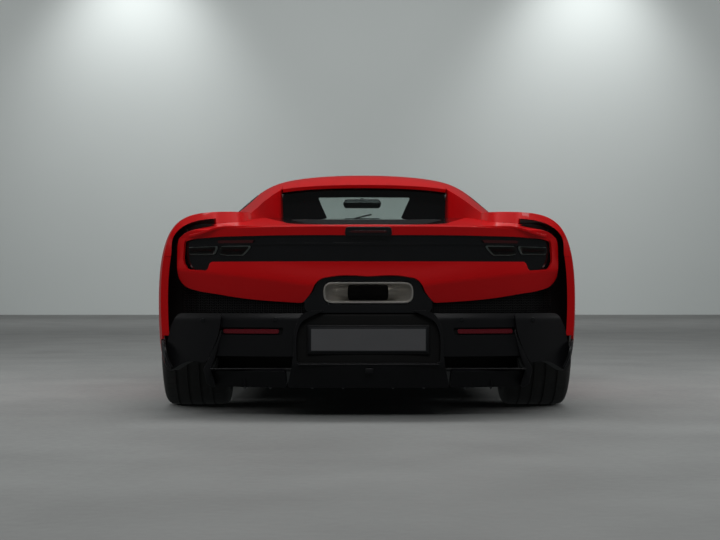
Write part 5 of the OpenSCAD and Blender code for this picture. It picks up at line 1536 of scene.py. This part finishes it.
def barrel_mesh(h):
    return turned([(h - 2, LIP_R - 8), (h, LIP_R - 3), (h - 1, LIP_R + 2), (h - 8, LIP_R + 2),
                   (h - 12, BEAD_R), (h - 32, BEAD_R - 4), (h - 60, BEAD_R - 18),
                   (-h + 60, BEAD_R - 18), (-h + 26, BEAD_R - 2), (-h + 10, BEAD_R),
                   (-h + 5, LIP_R), (-h + 2, LIP_R - 6), (-h + 12, BEAD_R - 16),
                   (-h + 60, BEAD_R - 26), (h - 60, BEAD_R - 26), (h - 26, BEAD_R - 12),
                   (h - 10, BEAD_R - 6), (h - 2, LIP_R - 8)])


def hub_mesh(h):
    return turned([(h - 66, 0.0), (h - 66, 72), (h - 40, 74), (h - 32, 66), (h - 34, 40),
                   (h - 30, 34), (h - 22, 33), (h - 20, 28), (h - 19, 0.0)])


def spoke_mesh(h):
    """Ten slim spokes in five pairs, each a tapered bar that dips towards the hub."""
    out = bmesh.new()
    for k in range(5):
        for t in (-1, 1):
            spoke = bmesh.new()
            bmesh.ops.create_cube(spoke, size=1)
            bmesh.ops.subdivide_edges(spoke, edges=[e for e in spoke.edges if abs(
                (e.verts[0].co - e.verts[1].co).z) > 0.5], cuts=6, use_grid_fill=True)
            for v in spoke.verts:
                s, outer = v.co.z + 0.5, v.co.x > 0
                half = np.interp(s, (0, 0.3, 0.8, 1), (13, 9.5, 8.5, 14))
                face = np.interp(s, (0, 0.35, 0.75, 1), (h - 40, h - 30, h - 16, h - 13))
                deep = np.interp(s, (0, 0.5, 1), (30, 22, 20))
                v.co = (face if outer else face - deep, t * (8 + 40 * s ** 1.15)
                        + v.co.y * 2 * half * (0.55 if outer else 1.0), 52 + s * 196)
            rotated(bevelled(spoke, 1.6, 2, angle=25), k * 72, "X")
            mesh = bpy.data.meshes.new("spoke")
            spoke.to_mesh(mesh)
            out.from_mesh(mesh)
            bpy.data.meshes.remove(mesh)
            spoke.free()
    return outward(out)


def nuts_mesh(h):
    out = bmesh.new()
    for k in range(5):
        made = bmesh.ops.create_cone(out, cap_ends=True, segments=6, radius1=11, radius2=10,
                                     depth=16)["verts"]
        rotated(out, 90, "Y", verts=made)
        moved(out, h - 30, 0, 54, verts=made)
        rotated(out, (k + 0.5) * 72, "X", verts=made)
    return bevelled(out, 1.2)


def disc_mesh(h):
    return turned([(-14, 118), (-14, 199), (-2, 199), (-2, 118), (-14, 118)], 72)


def bell_mesh(h):
    return turned([(-18, 0), (-18, 122), (2, 122), (4, 96), (h - 66, 90), (h - 66, 0)], 64)


for sx, word in ((-1, "left"), (1, "right")):
    for end, y, x, width, radius in (("front", FRONT_Y, FRONT_X, 245.0, FRONT_R),
                                     ("rear", REAR_Y, REAR_X, 305.0, REAR_R)):
        for part, bm, look, sharp, hidden in (
                ("tyre_tread", tread_mesh(width, radius), RUBBER, 24, "tyre"),
                ("barrel", barrel_mesh(width / 2), ALLOY, 30, "rim"),
                ("hub", hub_mesh(width / 2), ALLOY, 30, None),
                ("spokes", spoke_mesh(width / 2), ALLOY, 30, None),
                ("wheel_nuts", nuts_mesh(width / 2), MACHINED, 30, None),
                ("brake_disc", disc_mesh(width / 2), DISC, 30, None),
                ("disc_bell", bell_mesh(width / 2), ALLOY, 30, None)):
            moved(bm if sx > 0 else flip(bm), sx * x, y, radius)
            piece(f"{end}_{word}_{part}", bm, look, f"{end}_{word}_wheel", sharp=sharp,
                  hides=[f"{end}_{word}_{hidden}"] if hidden else ())

# ---------------------------------------------------------------- stage

floor = bmesh.new()
bmesh.ops.create_grid(floor, x_segments=1, y_segments=1, size=30000)
for name, bm, look in (("floor", floor, CONCRETE),
                       ("backdrop", box(-30000, 30000, 26000, 26200, -10, 16000), PLASTER)):
    obj = in_scene(bm, name)
    obj.data.materials.append(look)
    obj.visible_glossy = False

scene = bpy.context.scene
scene.world = bpy.data.worlds.new("studio")
scene.world.use_nodes = True
sky = scene.world.node_tree.nodes["Background"].inputs
sky["Color"].default_value = (0.55, 0.60, 0.60, 1)
sky["Strength"].default_value = 0.09

# Lamps: size, place, the point it faces, watts, and whether reflections show it (metres)
for name, size, place, aim, power, glossy in (
        ("overhead_left", (0.9, 9.0), (-2.6, -0.5, 5.0), (-1.0, -0.5, 0), 170, True),
        ("overhead_right", (0.9, 9.0), (2.6, -0.5, 5.0), (1.0, -0.5, 0), 170, True),
        ("left_wall", (7.0, 1.2), (-6.5, 0.0, 2.6), (0, 0, 0.5), 120, True),
        ("right_wall", (7.0, 1.2), (6.5, 0.0, 2.6), (0, 0, 0.5), 120, True),
        ("rear_soft", (6.0, 0.8), (0, -8.0, 5.6), (0, -2, 0.4), 110, True),
        ("front_soft", (6.0, 0.8), (0, 8.0, 5.6), (0, 2, 0.4), 150, False),
        ("near_floor", (16.0, 6.0), (0, -6.5, 7.5), (0, -6.5, 0), 190, False),
        ("wall_wash", (24.0, 2.0), (0, 17.0, 9.0), (0, 26, 3.5), 700, False),
        ("far_floor", (20.0, 10.0), (0, 14.0, 8.5), (0, 14, 0), 700, False)):
    data = bpy.data.lights.new(name, "AREA")
    data.shape = "RECTANGLE"
    data.size, data.size_y = size
    data.energy = power
    lamp = linked(bpy.data.objects.new(name, data))
    lamp.location = place
    lamp.rotation_euler = (Vector(aim) - Vector(place)).to_track_quat("-Z", "Y").to_euler()
    lamp.visible_glossy = glossy
for x in (-4.5, 5.0):
    data = bpy.data.lights.new("wall_spot", "SPOT")
    data.energy, data.spot_size, data.spot_blend = 620, math.radians(80), 1.0
    data.shadow_soft_size = 0.4
    lamp = linked(bpy.data.objects.new("wall_spot", data))
    lamp.location = (x, 23.8, 8.6)
    lamp.rotation_euler = (math.radians(28), 0, 0)
    lamp.visible_glossy = False

scene.view_settings.view_transform = "Standard"
data = bpy.data.cameras.new("camera")
data.lens, data.sensor_width, data.clip_end = 84.85, 36, 200
scene.camera = linked(bpy.data.objects.new("camera", data))
scene.camera.location = (-0.106, -9.622, 0.560)
scene.camera.rotation_euler = (math.radians(90 + 0.61), 0, math.radians(-0.54))

bpy.context.view_layer.update()
